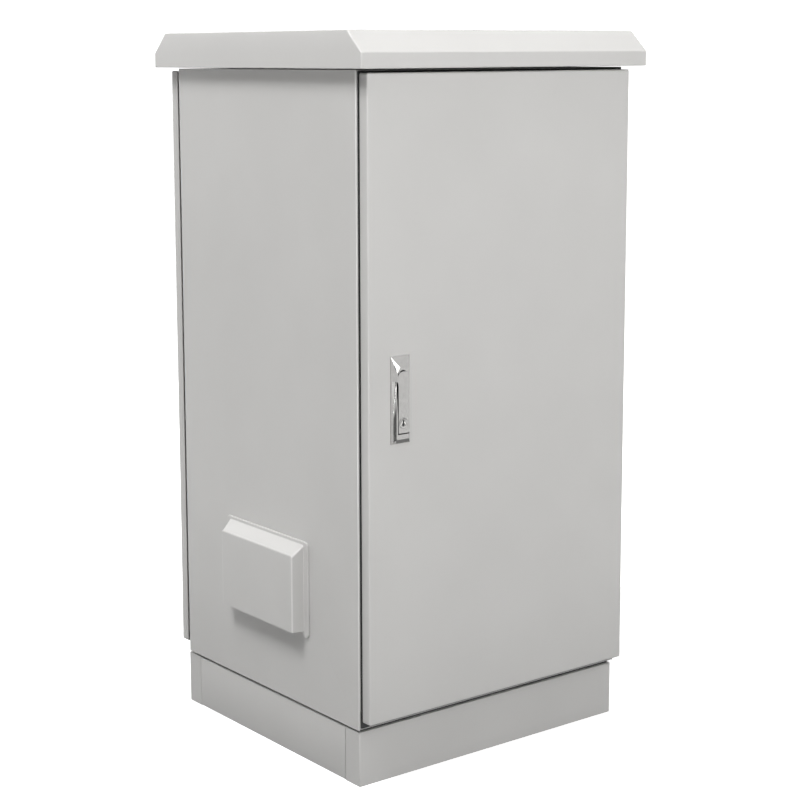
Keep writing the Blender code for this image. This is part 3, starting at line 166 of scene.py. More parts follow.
def powderCoat():
    # Light grey polyester powder sprayed on sheet steel and baked: half matt, faintly
    # rippled, a hair uneven in tone over a whole panel, with a painted highlight over an upright fold.
    made = material, tree, shader, place = newFinish("polyesterPowderCoat")
    cloud, peel, sag = (
        addNode(tree, "TexNoise", {"Scale": 1000 / powder[size], "Detail": detail}, {"Vector": place})
        .outputs["Fac"] for size, detail in (("cloud", 2), ("peel", 1), ("sag", 1)))
    flat = dress(made, powder, cloud, peel)
    # painted highlight: the bend attribute makes the coat paler over upright folds
    bend = addNode(tree, "Attribute", attribute_name="bend")
    tone = addNode(tree, "Mix", {7: linear(powder["fold"])},
                   {0: bend.outputs["Fac"], 6: flat.outputs[2]}, data_type="RGBA")
    hollow = addNode(tree, "Bump", {"Strength": 1, "Distance": powder["sagDepth"] / 1000},
                     {"Height": sag})
    ripple = addNode(tree, "Bump", {"Strength": 1, "Distance": powder["peelDepth"] / 1000},
                     {"Height": peel, "Normal": hollow.outputs["Normal"]})
    tree.links.new(tone.outputs[2], shader.inputs["Base Color"])
    tree.links.new(ripple.outputs["Normal"], shader.inputs["Normal"])
    return material


zinc = {
    "pale": "#b9bcbe",
    "deep": "#9da1a4",
    "spangle": 9,           # across a zinc crystal
    "bloom": 36,            # across a patch of the bloom
    "skin": 1.2,            # between ripples in the bath skin
    "skinDepth": 0.012,
    "roughness": (0.34, 0.52),
}


def galvanised():
    # Hot-dip galvanised strip: dull zinc crystals that each mirror the room a little
    # differently, under a thin grey bloom.
    made = material, tree, _, place = newFinish("galvanisedSteel")
    grain = addNode(tree, "TexVoronoi", {"Scale": 1000 / zinc["spangle"]}, {"Vector": place})
    bloom = addNode(tree, "TexNoise", {"Scale": 1000 / zinc["bloom"], "Detail": 3}, {"Vector": place})
    bath = addNode(tree, "TexNoise", {"Scale": 1000 / zinc["skin"], "Detail": 2}, {"Vector": place})
    each = addNode(tree, "SeparateColor", links={"Color": grain.outputs["Color"]})
    both = addNode(tree, "Math", links={0: each.outputs["Red"], 1: bloom.outputs["Fac"]},
                   operation="MULTIPLY")
    dress(made, zinc, both.outputs[0], each.outputs["Green"], bath.outputs["Fac"], zinc["skinDepth"],
          {"Metallic": 1})
    return material


chrome = {
    "pale": "#bcbbb9",
    "deep": "#b0afad",
    "wave": 7,              # between the polishing waves
    "waveDepth": 0.012,
    "pit": 0.9,             # between polishing marks
    "roughness": (0.10, 0.19),
}


def chromedCasting():
    # Die-cast zinc, polished by hand and chrome plated: mirror bright, with the slow
    # waves that a polishing wheel leaves and fine wiping marks.
    made = material, tree, _, place = newFinish("chromedZincCasting")
    wave = addNode(tree, "TexNoise", {"Scale": 1000 / chrome["wave"], "Detail": 1}, {"Vector": place})
    pit = addNode(tree, "TexNoise", {"Scale": 1000 / chrome["pit"], "Detail": 2}, {"Vector": place})
    dress(made, chrome, wave.outputs["Fac"], pit.outputs["Fac"], wave.outputs["Fac"],
          chrome["waveDepth"], {"Metallic": 1})
    return material


bright = {
    "pale": "#c9cbcc",
    "deep": "#aeb1b4",
    "draw": 0.5,            # between draw marks
    "stretch": 30,          # a mark is this many times longer than wide
    "drawDepth": 0.01,
    "stain": 50 / 3,        # across a cloud in the plating
    "roughness": (0.22, 0.36),
}


def brightSteel():
    # Cold drawn steel with bright zinc plating: long draw marks up its length.
    made = material, tree, _, place = newFinish("brightZincSteel")
    along = addNode(tree, "Mapping", {"Scale": (1, 1, 1 / bright["stretch"])}, {"Vector": place})
    draw = addNode(tree, "TexNoise", {"Scale": 1000 / bright["draw"], "Detail": 2},
                   {"Vector": along.outputs["Vector"]})
    stain = addNode(tree, "TexNoise", {"Scale": 1000 / bright["stain"], "Detail": 2}, {"Vector": place})
    dress(made, bright, stain.outputs["Fac"], draw.outputs["Fac"], draw.outputs["Fac"],
          bright["drawDepth"], {"Metallic": 1})
    return material


rubber = {
    "pale": "#2b2b2a",
    "deep": "#1d1d1d",
    "bloom": 14,            # across a chalky patch
    "skin": 0.7,            # between the skin's pores
    "skinDepth": 0.03,
    "roughness": (0.58, 0.78),
}


def blackRubber():
    # Moulded and extruded weather-proof rubber: near black, dull, with a chalky bloom.
    made = material, tree, _, place = newFinish("mouldedRubber")
    bloom = addNode(tree, "TexNoise", {"Scale": 1000 / rubber["bloom"], "Detail": 3}, {"Vector": place})
    pores = addNode(tree, "TexNoise", {"Scale": 1000 / rubber["skin"], "Detail": 2}, {"Vector": place})
    dress(made, rubber, bloom.outputs["Fac"], bloom.outputs["Fac"], pores.outputs["Fac"],
          rubber["skinDepth"])
    return material


foam = {
    "pale": "#3a3a39",
    "deep": "#262626",
    "cell": 1.1,            # across a foam cell
    "cellDepth": 0.25,
    "cloud": 100 / 7,       # across a patch of tone
    "roughness": 0.85,
}


def gasketFoam():
    # Foamed-in-place polyurethane: dark grey skin over fine open cells.
    made = material, tree, _, place = newFinish("foamedPolyurethane")
    cell = addNode(tree, "TexVoronoi", {"Scale": 1000 / foam["cell"]}, {"Vector": place})
    cloud = addNode(tree, "TexNoise", {"Scale": 1000 / foam["cloud"], "Detail": 2}, {"Vector": place})
    dress(made, foam, cloud.outputs["Fac"], None, cell.outputs["Distance"], foam["cellDepth"],
          {"Roughness": foam["roughness"]})
    return material


plastic = {
    "pale": "#2f3031",
    "deep": "#26272a",
    "spark": 0.8,           # across the spark-eroded grain of the mould
    "sparkDepth": 0.03,
    "flow": 200 / 9,        # across a streak where the melt ran
    "roughness": (0.42, 0.56),
}


def blackPlastic():
    # Injection-moulded glass-filled nylon: black, lightly grained by the mould.
    made = material, tree, _, place = newFinish("mouldedNylon")
    spark = addNode(tree, "TexNoise", {"Scale": 1000 / plastic["spark"], "Detail": 2},
                    {"Vector": place})
    flow = addNode(tree, "TexNoise", {"Scale": 1000 / plastic["flow"], "Detail": 2}, {"Vector": place})
    dress(made, plastic, flow.outputs["Fac"], spark.outputs["Fac"], spark.outputs["Fac"],
          plastic["sparkDepth"])
    return material


fleece = {
    "pale": "#e3e2dc",
    # grey of the hollows between fibre clumps, following the bump: painted shade
    "deep": "#bdbbb3",
    "fibre": 1.6,           # between fibre clumps
    "fibreDepth": 0.9,
    "tangle": 1.5,          # how far the fibres wander
    "roughness": 0.95,
    "sheen": 0.3,
}


def filterFleece():
    # Needled polyester filter mat: white loose fibres, dull, with painted shade in the hollows between
    # them.
    made = material, tree, _, place = newFinish("needledFilterFleece")
    fibre = addNode(tree, "TexNoise", {"Scale": 1000 / fleece["fibre"], "Detail": 5, "Roughness": 0.7,
                                       "Distortion": fleece["tangle"]}, {"Vector": place})
    dress(made, fleece, fibre.outputs["Fac"], None, fibre.outputs["Fac"], fleece["fibreDepth"],
          {"Roughness": fleece["roughness"], "Sheen Weight": fleece["sheen"]})
    return material


finishes = {
    "powder_coat": powderCoat(),
    "galvanised_sheet": galvanised(),
    "chromed_casting": chromedCasting(),
    "bright_steel": brightSteel(),
    "black_rubber": blackRubber(),
    "gasket_foam": gasketFoam(),
    "black_plastic": blackPlastic(),
    "filter_fleece": filterFleece(),
}

slotOf = {name: node.material_slots[0].material.name for name, node in nodes.items()}
for node in nodes.values():
    for holder in node.material_slots:
        holder.material = finishes[holder.material.name]
print("finishes:", len(finishes))


# Points and skins: grids of points, rows by columns, worked out as whole arrays.

def stacked(*parts):
    # columns of numbers of equal length side by side, as points
    return np.stack(np.broadcast_arrays(*parts), axis=-1)


def circle(steps):
    # angles once round, in equal steps
    return np.linspace(0, 2 * math.pi, steps + 1)[:-1]


def quarter(steps=6):
    # cosine and sine of equal steps from nought to a right angle
    angle = np.linspace(0, math.pi / 2, steps + 1)
    return np.cos(angle), np.sin(angle)


def skin(grid, closedRows=False, closedColumns=False, capped=False):
    # Each four neighbouring points make a face. A closed grid joins its last row or column
    # to its first, and a capped one has a flat face over its first and last row.
    rows, columns = grid.shape[:2]
    number = np.arange(rows * columns).reshape(rows, columns)
    if closedRows:
        number = np.concatenate([number, number[:1]])
    if closedColumns:
        number = np.concatenate([number, number[:, :1]], axis=1)
    quads = np.stack([number[:-1, :-1], number[:-1, 1:], number[1:, 1:], number[1:, :-1]], axis=2)
    faces = quads.reshape(-1, 4).tolist()
    if capped:
        faces += [number[0, columns - 1::-1].tolist(), number[rows - 1, :columns].tolist()]
    return grid.reshape(-1, 3), faces


def meshOf(name, skins, closed=True):
    # Gathers skins in one mesh. A closed skin with a negative volume is inside out and is turned.
    whole = bmesh.new()
    for points, faces in skins:
        part = bpy.data.meshes.new("part")
        part.from_pydata(points, [], faces)
        one = bmesh.new()
        one.from_mesh(part)
        bmesh.ops.remove_doubles(one, verts=one.verts, dist=2e-6)
        if closed and one.calc_volume(signed=True) < 0:
            bmesh.ops.reverse_faces(one, faces=one.faces)
        one.to_mesh(part)
        one.free()
        whole.from_mesh(part)
        bpy.data.meshes.remove(part)
    mesh = bpy.data.meshes.new(name)
    whole.to_mesh(mesh)
    whole.free()
    return mesh


# Studio, in metres.

def faceTo(place, target):
    # the turn that makes +Z look from the target back to the place
    return (Vector(place) - Vector(target)).to_track_quat("Z", "Y").to_matrix().to_4x4()


def flatMesh(name, corners):
    # one face between four corners
    mesh = bpy.data.meshes.new(name)
    mesh.from_pydata(corners, [], [(0, 1, 2, 3)])
    return mesh


def glowing(name, glow, fixed=None):
    # white light of its own, and whatever else is fixed on the shader
    material, _, shader, _ = newFinish(name)
    for socket, value in {"Emission Color": linear("#ffffff"), "Emission Strength": glow,
                          **(fixed or {})}.items():
        shader.inputs[socket].default_value = value
    return material


def stand(name, mesh, material, hiddenFrom):
    # a thing of the studio, and the kinds of ray that it is hidden from
    mesh.materials.append(material)
    thing = bpy.data.objects.new(name, mesh)
    scene.collection.objects.link(thing)
    for kind in hiddenFrom:
        setattr(thing, "visible_" + kind, False)


room = {
    # strength of the light from all round: from below it changes to the horizon's between
    # two sines of the angle above the horizon, and so on upwards
    "below": 0.27,
    "horizon": (1.0, -0.02, -0.01),
    "walls": (0.0, 0.036, 0.06),
    "ceiling": (0.66, 0.5, 0.9),
}

lamps = {
    # name: place, point it faces, width, height, power in watts
    "sideBox": ((-3.2, -0.3, 5.8), (-0.3, 0, 0.8), 2.0, 2.0, 212),
    "sideHigh": ((-1.9, -0.1, 3.2), (-0.3, 0, 0.8), 1.2, 1.2, 15),
    "frontBox": ((0.3, -3.4, 2.4), (0, -0.3, 0.8), 2.2, 1.5, 82),
    "cornerBox": ((-2.95, -2.5, 0.85), (-0.3, -0.3, 0.6), 0.7, 1.4, 23),
    "farSideBox": ((3.6, 0.2, 1.9), (0.3, 0, 0.8), 2.2, 1.6, 60),
    "backBox": ((-0.2, 3.5, 1.8), (0, 0.3, 0.8), 2.2, 1.8, 66),
}


def makeStudio():
    # Pale room: a bright line at the horizon, dark walls and a softly lit ceiling, and the
    # lamps, which the camera doesn't see.
    world = bpy.data.worlds.new("studio")
    world.use_nodes = True
    tree = world.node_tree
    tree.nodes.clear()
    way = addNode(tree, "TexCoord").outputs["Generated"]
    rise = addNode(tree, "SeparateXYZ", links={"Vector": way}).outputs["Z"]
    below, (horizon, *first), (walls, *second), (ceiling, *third) = (
        room[k] for k in ("below", "horizon", "walls", "ceiling"))
    low, middle, high = (
        addNode(tree, "MapRange", dict(zip(("From Min", "From Max", "To Min", "To Max"), limits)),
                {"Value": rise}, interpolation_type=kind).outputs["Result"]
        for kind, limits in (("LINEAR", (*first, below, horizon)),
                             ("SMOOTHSTEP", (*second, 0, walls - horizon)),
                             ("SMOOTHSTEP", (*third, 0, ceiling - walls))))
    lower = addNode(tree, "Math", links={0: low, 1: middle})
    whole = addNode(tree, "Math", links={0: lower.outputs[0], 1: high})
    sky = addNode(tree, "Background", {"Color": linear("#ffffff")}, {"Strength": whole.outputs[0]})
    addNode(tree, "OutputWorld", links={"Surface": sky.outputs["Background"]})
    scene.world = world
    for name, (place, target, wide, tall, power) in lamps.items():
        data = bpy.data.lights.new(name, "AREA")
        data.shape = "RECTANGLE"
        data.size, data.size_y, data.energy = wide, tall, power
        lamp = bpy.data.objects.new(name, data)
        scene.collection.objects.link(lamp)
        lamp.matrix_world = Matrix.Translation(place) @ faceTo(place, target)
        lamp.visible_camera = False


table = {
    "pale": "#f6f6f5",
    "deep": "#f1f1f0",
    "haze": 1.25,           # across a patch of tone
    "roughness": 0.9,
    "shine": 0.1,
    "glow": 0.97,
    "reach": 300,
}


def makeFloor():
    # Pale translucent table, lit faintly from under: the object's shadow stays soft on it.
    made = material, tree, _, place = newFinish("paleTable")
    haze = addNode(tree, "TexNoise", {"Scale": 1 / table["haze"], "Detail": 2}, {"Vector": place})
    dress(made, table, haze.outputs["Fac"], fixed={
        "Roughness": table["roughness"], "Specular IOR Level": table["shine"],
        "Emission Color": linear("#ffffff"), "Emission Strength": table["glow"]})
    reach = table["reach"]
    corners = [(-reach, -reach, 0), (reach, -reach, 0), (reach, reach, 0), (-reach, reach, 0)]
    stand("floor", flatMesh("floor", corners), material, ["diffuse"])


backdrop = {
    "radius": 60,
    "foot": -1,
    "head": 40,
    "steps": 64,
}


def makeBackdrop():
    # White ring wall far out round the floor, which only the camera sees: every point is
    # radius times the cosine and sine of its angle, at the foot or the head.
    material = glowing("backdrop", 1)
    turn, reach = circle(backdrop["steps"]), backdrop["radius"]
    rows = np.array([backdrop["foot"], backdrop["head"]])[:, None]
    ring = skin(stacked(reach * np.cos(turn), reach * np.sin(turn), rows), closedColumns=True)
    stand("backdrop", meshOf("backdrop", [ring], closed=False), material,
          ["diffuse", "glossy", "shadow"])


card = {
    "pale": "#121212",
    "deep": "#0c0c0c",
    "weave": 0.0025,        # between threads
    "edges": (-1.1, 0.9, -0.75, 0.9),       # left, right, near and far
    "lift": 0.0005,         # clear of the floor
}


def makeCard():
    # Matt black card round the foot, which only takes soft light away from the lowest parts.
    made = material, tree, _, place = newFinish("blackCard")
    weave = addNode(tree, "TexNoise", {"Scale": 1 / card["weave"], "Detail": 1}, {"Vector": place})
    dress(made, card, weave.outputs["Fac"], fixed={"Roughness": 1})
    (left, right, near, far), lift = card["edges"], card["lift"]
    corners = [(left, near, lift), (right, near, lift), (right, far, lift), (left, far, lift)]
    stand("card", flatMesh("card", corners), material, ["camera", "glossy", "shadow"])


mirrored = {
    # name: middle, point it faces, width, height, glow
    "darkFlag": ((-1.51, -0.36, 0.43), (-0.23, -0.3, 0.66), 0.62, 0.6, 0.16),
    "greySheet": ((-1.323, -0.906, 0.43), (-0.23, -0.3, 0.66), 0.64, 0.6, 0.76),
    "shade": ((-0.98, -1.33, 0.43), (-0.23, -0.3, 0.66), 0.34, 0.6, 0.12),
    "leverSheet": ((0.56, -1.3, 0.43), (-0.23, -0.3, 0.66), 0.62, 0.6, 1.03),
    "scoopSheet": ((-0.295, -1.548, 0.43), (-0.23, -0.3, 0.66), 1.1, 0.5, 1.2),
    "facetSheet": ((-0.37, -1.62, 0.94), (-0.23, -0.3, 0.73), 0.42, 0.36, 5),
    "footShade": ((-0.217, -0.3115, 0.590), (-0.217, -0.3115, 0.7), 0.036, 0.021, 0.28),
    "cornerGlow": ((-1.75, -1.45, 0.19), (-0.3, -0.25, 0.3), 0.5, 0.34, 16),
    "paleSheet": ((1.71, -2.32, 2.25), (-0.23, -0.3, 0.73), 1.8, 1.3, 1.0),
}


def makeMirrored():
    # Sheets that only reflections see: they give the polished handle its darks and lights.
    for name, (place, target, wide, high, glow) in mirrored.items():
        material = glowing(name, glow, {"Base Color": linear("#000000"), "Specular IOR Level": 0})
        turn = faceTo(target, place)
        corners = [Vector(place) + turn @ Vector((x * wide / 2, y * high / 2, 0))
                   for x, y in ((-1, -1), (1, -1), (1, 1), (-1, 1))]
        stand(name, flatMesh(name, corners), material, ["camera", "diffuse", "shadow"])


makeStudio()
makeFloor()
makeBackdrop()
makeCard()
makeMirrored()
print("studio ready")


# Pieces. Sizes in each dictionary are in millimetres, in the grids in metres.

def addPiece(name, mesh, finish, body, bend, stands=()):
    # The finish is also the record's slot. Faces that meet at less than the bend, in degrees,
    # are shaded as one curve, and open edges are sharp.
    mesh.materials.append(finishes[finish])
    mesh.polygons.foreach_set("use_smooth", np.ones(len(mesh.polygons), bool))
    mesh.set_sharp_from_angle(angle=math.radians(bend))
    shape = bmesh.new()
    shape.from_mesh(mesh)
    for edge in shape.edges:
        if edge.is_boundary:
            edge.smooth = False
    shape.to_mesh(mesh)
    shape.free()
    piece = bpy.data.objects.new(name, mesh)
    scene.collection.objects.link(piece)
    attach(piece, body)
    if stands:
        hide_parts(*stands)
    return piece


def bodyOf(node):
    # the body that a node of the frame rides on
    return nodes[node]["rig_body"]


foldHighlight = {
    "from": 0.45,           # where the painted highlight over a fold begins
    "span": 0.5,            # and how much further it is at its palest
}


def markFoldHighlight(mesh, domain="POINT"):
    # Upright folds, for a painted highlight in the coat: twice the product of the normal's two level
    # parts is one half way round a fold and nought on the flats. On faces, flats stay clean up to the
    # fold.
    count, source = ((len(mesh.vertices), mesh.vertex_normals) if domain == "POINT"
                     else (len(mesh.polygons), mesh.polygon_normals))
    normal = np.zeros(count * 3)
    source.foreach_get("vector", normal)
    normal = normal.reshape(-1, 3)
    fold = (2 * np.abs(normal[:, 0] * normal[:, 1]) - foldHighlight["from"]) / foldHighlight["span"]
    mesh.attributes.new("bend", "FLOAT", domain).data.foreach_set("value", np.clip(fold, 0, 1))


def easeEdges(piece, width, limit, steps):
    # edges sharper than the limit, in degrees, get a round of the width, in mm
    ease = piece.modifiers.new("easedEdges", "BEVEL")
    ease.width = width / 1000
    ease.segments = steps
    ease.limit_method = "ANGLE"
    ease.angle_limit = math.radians(limit)
    ease.harden_normals = True


def rings(halfWide, low, high, radius, middle=0.0, steps=6, hold=0.0012, extra=()):
    # Rows of rounded rectangles: four corner arcs, each point = corner's centre + radius
    # (cos, sin), with a holding point before and after it. extra: heights of more points
    # on the right side. The first four arguments may differ by row.
    halfWide, low, high, radius = (np.asarray(a, float).reshape(-1, 1)
                                   for a in (halfWide, low, high, radius))
    angle = np.linspace(0, math.pi / 2, steps + 1)
    angle = np.concatenate([angle[:1], angle, angle[-1:]])
    shift = np.zeros(steps + 3)
    shift[0], shift[-1] = -hold, hold
    across, up = [], []
    corners = ((1, high - radius), (-1, high - radius), (-1, low + radius), (1, low + radius))
    for number, (sign, centre) in enumerate(corners):
        a = angle + number * math.pi / 2
        across.append(middle + sign * (halfWide - radius) + radius * np.cos(a) - shift * np.sin(a))
        up.append(centre + radius * np.sin(a) + shift * np.cos(a))
    if len(extra):
        across.append(np.broadcast_to(middle + halfWide, (len(halfWide), len(extra))))
        up.append(np.broadcast_to(extra, (len(halfWide), len(extra))))
    return np.concatenate(across, axis=1), np.concatenate(up, axis=1)


doorPan = {
    "sheet": 1.5,
    "bend": 2.6,            # outside radius of a folded edge
    "weld": 3.4,            # radius of the ground corner
    "brokenEdge": 0.3,      # rounding of the sheet's cut edge
    "flat": (2.5, 1),       # held flat beside the fold, on the face and on the return
    "notchFoot": 7,         # return left at a hinge
    "notches": ((239, 268), (1030.5, 1059.5)),      # heights
    "notchEdge": 0.02,      # half the step at each end of a notch
    "cutOut": (-230, 15.4, 639.6, 735.4, 4.4),      # middle, half width, low, high, corner
}


def doorShell(node, cutOut=None):
    # One sheet as a closed grid. Rows run from the cut-out over the face, round the fold, down
    # the return, over its cut edge and back inside; columns run round the door's edge. Round a
    # fold inset = radius - radius sin a, and depth behind the face = radius - radius cos a.
    low, high = (np.array(corner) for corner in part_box(node))
    sign = 1 if low[1] < 0 else -1
    face = low[1] if sign > 0 else high[1]
    sheet, bend, weld, broken, foot = (
        doorPan[k] / 1000 for k in ("sheet", "bend", "weld", "brokenEdge", "notchFoot"))
    faceFlat, edgeFlat = (bend + flat / 1000 for flat in doorPan["flat"])
    cos, sin = quarter()
    inner, nearly = bend - sheet, broken * 0.3
    outside = stacked(np.concatenate([[faceFlat], bend - bend * sin, [0]]),
                      np.concatenate([[0], bend - bend * cos, [edgeFlat]]))
    cutEdge = stacked([0, nearly, broken, sheet - broken, sheet - nearly, sheet],
                      [-broken, -nearly, 0, 0, -nearly, -broken])
    inside = stacked(np.concatenate([[sheet], sheet + inner - inner * sin[::-1], [faceFlat]]),
                     np.concatenate([[edgeFlat], sheet + inner - inner * cos[::-1], [sheet]]))
    inset, behind = np.concatenate([outside, cutEdge, inside]).T
    atCut = np.repeat([False, True, False], [len(outside), len(cutEdge), len(inside)])
    edge = doorPan["notchEdge"]
    extra = np.array([level + step for pair in doorPan["notches"] for level in pair
                      for step in (-edge, edge)]) / 1000
    x, z = rings((high[0] - low[0]) / 2 - inset, low[2] + inset, high[2] - inset,
                 np.maximum(weld - inset, 0.0003), extra=extra)
    # how far the return reaches at each column: its depth, or its foot in a notch
    reach = np.full(x.shape[1], high[1] - low[1])
    reach[-len(extra):][np.tile([False, True, True, False], len(extra) // 4)] = foot
    y = np.where(atCut[:, None], reach + behind[:, None], behind[:, None])
    grid = stacked(x, face + sign * y, z)
    if cutOut is None:
        return skin(grid, closedColumns=True, capped=True)
    middle, half, foot, top, corner = (v / 1000 for v in cutOut)
    beside = foot + corner + (top - foot - 2 * corner) * (extra - low[2]) / (high[2] - low[2])
    x, z = rings([half], [foot], [top], [corner], middle=middle, hold=0.0004, extra=beside)
    front, back = stacked(x, face, z), stacked(x, face + sign * sheet, z)
    return skin(np.concatenate([front, grid, back]), closedRows=True, closedColumns=True)


def makeDoors():
    for node, cutOut in (("front_door", doorPan["cutOut"]), ("rear_door", None)):
        name = node + "_sheet"
        mesh = meshOf(name, [doorShell(node, cutOut)])
        addPiece(name, mesh, "powder_coat", bodyOf(node), 35, [node])


makeDoors()
print("doors ready")


roofCap = {
    "sheet": 1.5,
    "fascia": 26,
    "slope": (38, 36),      # at front and rear: across and up
    "fold": 4,              # outside radius of the folds along the slopes
    "gable": 2.2,           # radius at the gable ends
    "corner": 3,            # radius of the upright corners
    "lip": 1.6,             # radius under the fascia
    "hem": 12,
    "flat": 3,              # held flat beside the upper folds
}


def roofRows(top, shoulder, fold, gable):
    # Heights up the roof with its inset on the slopes and at the gables. The slope is a line;
    # at each fold the inset follows the fold's circle, and at the gable it is
    # radius - root of (radius squared - height above the round's foot squared).
    run, rise = (size / 1000 for size in roofCap["slope"])
    lean = math.atan2(rise, run)
    start = fold * math.tan((math.pi / 2 - lean) / 2)
    turn = np.linspace(0, math.pi / 2 - lean, 6)
    lowFold = stacked(fold * (1 - np.cos(turn)), shoulder - start + fold * np.sin(turn))
    reach = fold * math.tan(lean / 2)
    turn = np.linspace(math.pi / 2 - lean, math.pi / 2, 6)
    highFold = stacked(run + reach - fold * np.cos(turn), top - fold + fold * np.sin(turn))
    share = np.array([[0.03], [0.97]])
    slope = lowFold[-1] * (1 - share) + highFold[0] * share
    inset, height = np.concatenate([lowFold, slope, highFold]).T
    above = np.clip(height - (top - gable), 0, gable)
    return inset, gable - np.sqrt(np.maximum(gable ** 2 - above ** 2, 0)), height


def roofShell():
    # Rows run from the inner top down inside, round the hem and up outside to the top.
    low, high = (np.array(corner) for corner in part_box("roof_cap"))
    x, y, foot, top = high[0], high[1], low[2], high[2]
    sheet, fascia, fold, gable, corner, lip, hem, flat = (
        roofCap[k] / 1000 for k in ("sheet", "fascia", "fold", "gable", "corner", "lip", "hem", "flat"))
    cos, sin = quarter()
    outSlope, outGable, outHeight = roofRows(top, foot + fascia, fold, gable)
    inSlope, inGable, inHeight = roofRows(top - sheet, foot + fascia - sheet * 0.4, fold - sheet,
                                          gable - sheet / 2)
    rim = np.concatenate([[sheet, hem + sheet - 0.0003, hem + sheet, hem + sheet, hem + sheet - 0.0004,
                           lip + 0.002], lip - lip * sin, [0]])
    rimHeight = np.concatenate([[foot + sheet] * 3, [foot + 0.0003, foot, foot], foot + lip - lip * cos,
                                [foot + lip + 0.002]])
    insetX, insetY = (
        np.concatenate([[inner[-1] + sheet + flat], inner[::-1] + sheet, rim, outer,
                        [outer[-1] + flat]])
        for inner, outer in ((inGable, outGable), (inSlope, outSlope)))
    level = np.concatenate([[top - sheet], inHeight[::-1], rimHeight, outHeight, [top]])
    radius = np.clip(corner - np.minimum(insetX, insetY), 0.0004, corner)
    across, along = rings(x - insetX, -y + insetY, y - insetY, radius, hold=0.0015)
    return skin(stacked(across, along, level[:, None]), closedColumns=True, capped=True)


addPiece("roof_sheet", meshOf("roof_sheet", [roofShell()]), "powder_coat", bodyOf("roof_cap"), 35,
         ["roof_cap"])
print("roof ready")


rainHood = {
    "flange": 3.2,          # thickness
    "overlap": 3,           # flange inside the cheeks' outside
    "legs": (12, 11),       # flange beside a cheek, and below the mouth
    "head": 5.5,            # flange above the slope
    "corner": 9,            # flange's upper corners
    "edge": 2.4,            # rounding of the flange's outer edge
    "fillet": 0.6,          # hollow between flange and cheek
    "shoulder": 4.2,        # edge between slope and cheek
    "bend": 3.4,            # edges of the front
    "slope": 16.5,          # fall from the flange to the front
    "taper": 4.5,           # how much each cheek leans in
    "wall": 2,
}


def archColumns(half, foot, top, corner, feet=0.0, steps=7):
    # Outline of an arch, up one leg, over and down the other: half width, foot, top and corner
    # radius may differ by row. feet is the signed half width of the round under each leg,
    # whose points are leg's middle + feet (cos, -sin).
    half, foot, top, corner, feet = np.broadcast_arrays(
        *(np.asarray(a, float).reshape(-1, 1) for a in (half, foot, top, corner, feet)))
    cos, sin = quarter(steps)
    size = np.abs(feet)
    hold = np.clip(half * 0.3, 0, 0.0015)
    y = np.concatenate([half - feet + feet * sin, half, half - corner + corner * cos,
                        half - corner - hold], axis=1)
    z = np.concatenate([foot + size - size * cos, top - corner - hold, top - corner + corner * sin,
                        top], axis=1)
    return np.concatenate([y, -y[:, ::-1]], axis=1), np.concatenate([z, z[:, ::-1]], axis=1)


def hoodFlange(low, high, sign, middle):
    # An arch-shaped plate with round feet: rows run round its cross-section, from the inner
    # edge over the front and the rounded outer edge to the back.
    flange, edge, overlap, head, leg, corner = (v / 1000 for v in (
        rainHood["flange"], rainHood["edge"], rainHood["overlap"], rainHood["head"],
        rainHood["legs"][0], rainHood["corner"]))
    back = (low if sign > 0 else high)[0] * sign
    front = back + flange
    outer = (high[1] - low[1]) / 2
    inner = outer - (leg + overlap)
    feet = (outer - inner) / 2
    cos, sin = quarter(4)
    outY, outZ = archColumns(outer, low[2], high[2], corner, feet)
    inY, inZ = archColumns(inner, low[2], high[2] - (head + overlap), 0.003, -feet)
    share = np.concatenate([[0, 0, 0.04], 1 - (edge - edge * sin) / (outer - inner), [1]])[:, None]
    x = np.concatenate([[back, front, front], front - edge + edge * cos, [back]])[:, None]
    return skin(stacked(sign * x, middle + inY + (outY - inY) * share, inZ + (outZ - inZ) * share),
                closedRows=True)


def hoodShell(low, high, sign, middle):
    # Arches from the flange out to the front, then inward over the front face to its middle
    # line: half width and top fall in step with the distance from the flange, and at the bend
    # both follow a quarter circle.
    plate = (low if sign > 0 else high)[0] * sign + rainHood["flange"] / 1000
    reach = (high if sign > 0 else low)[0] * sign - plate
    head, bend, fillet, shoulder, slope, taper = (
        rainHood[k] / 1000 for k in ("head", "bend", "fillet", "shoulder", "slope", "taper"))
    leg, under = (size / 1000 for size in rainHood["legs"])
    half = (high[1] - low[1]) / 2 - leg
    mouth = low[2] + under
    cos, sin = quarter()
    out = np.concatenate([[-0.0004], fillet - fillet * cos, [fillet + 0.001, reach - bend - 0.001],
                          reach - bend + bend * sin, [reach] * 3])
    inset = np.concatenate([[-fillet], -fillet + fillet * sin, [0, 0], bend - bend * cos,
                            [bend + 0.002, half * 0.6, half]])
    # sizes are held a little above nought, so that the points of a small arch stay in order
    share = np.clip(out / (reach - bend), 0, 1)
    wide = np.maximum(half - taper * share - inset, 0.0)
    drop = high[2] - head - slope * share - inset
    corner = np.clip(shoulder - np.maximum(inset, 0) * 0.9, 0.0006, None)
    corner = np.minimum(corner, np.maximum(wide, 1e-5))
    y, z = archColumns(wide, mouth, np.maximum(drop, mouth + 0.004), corner)
    return skin(stacked(sign * (plate + out)[:, None], middle + y, z))


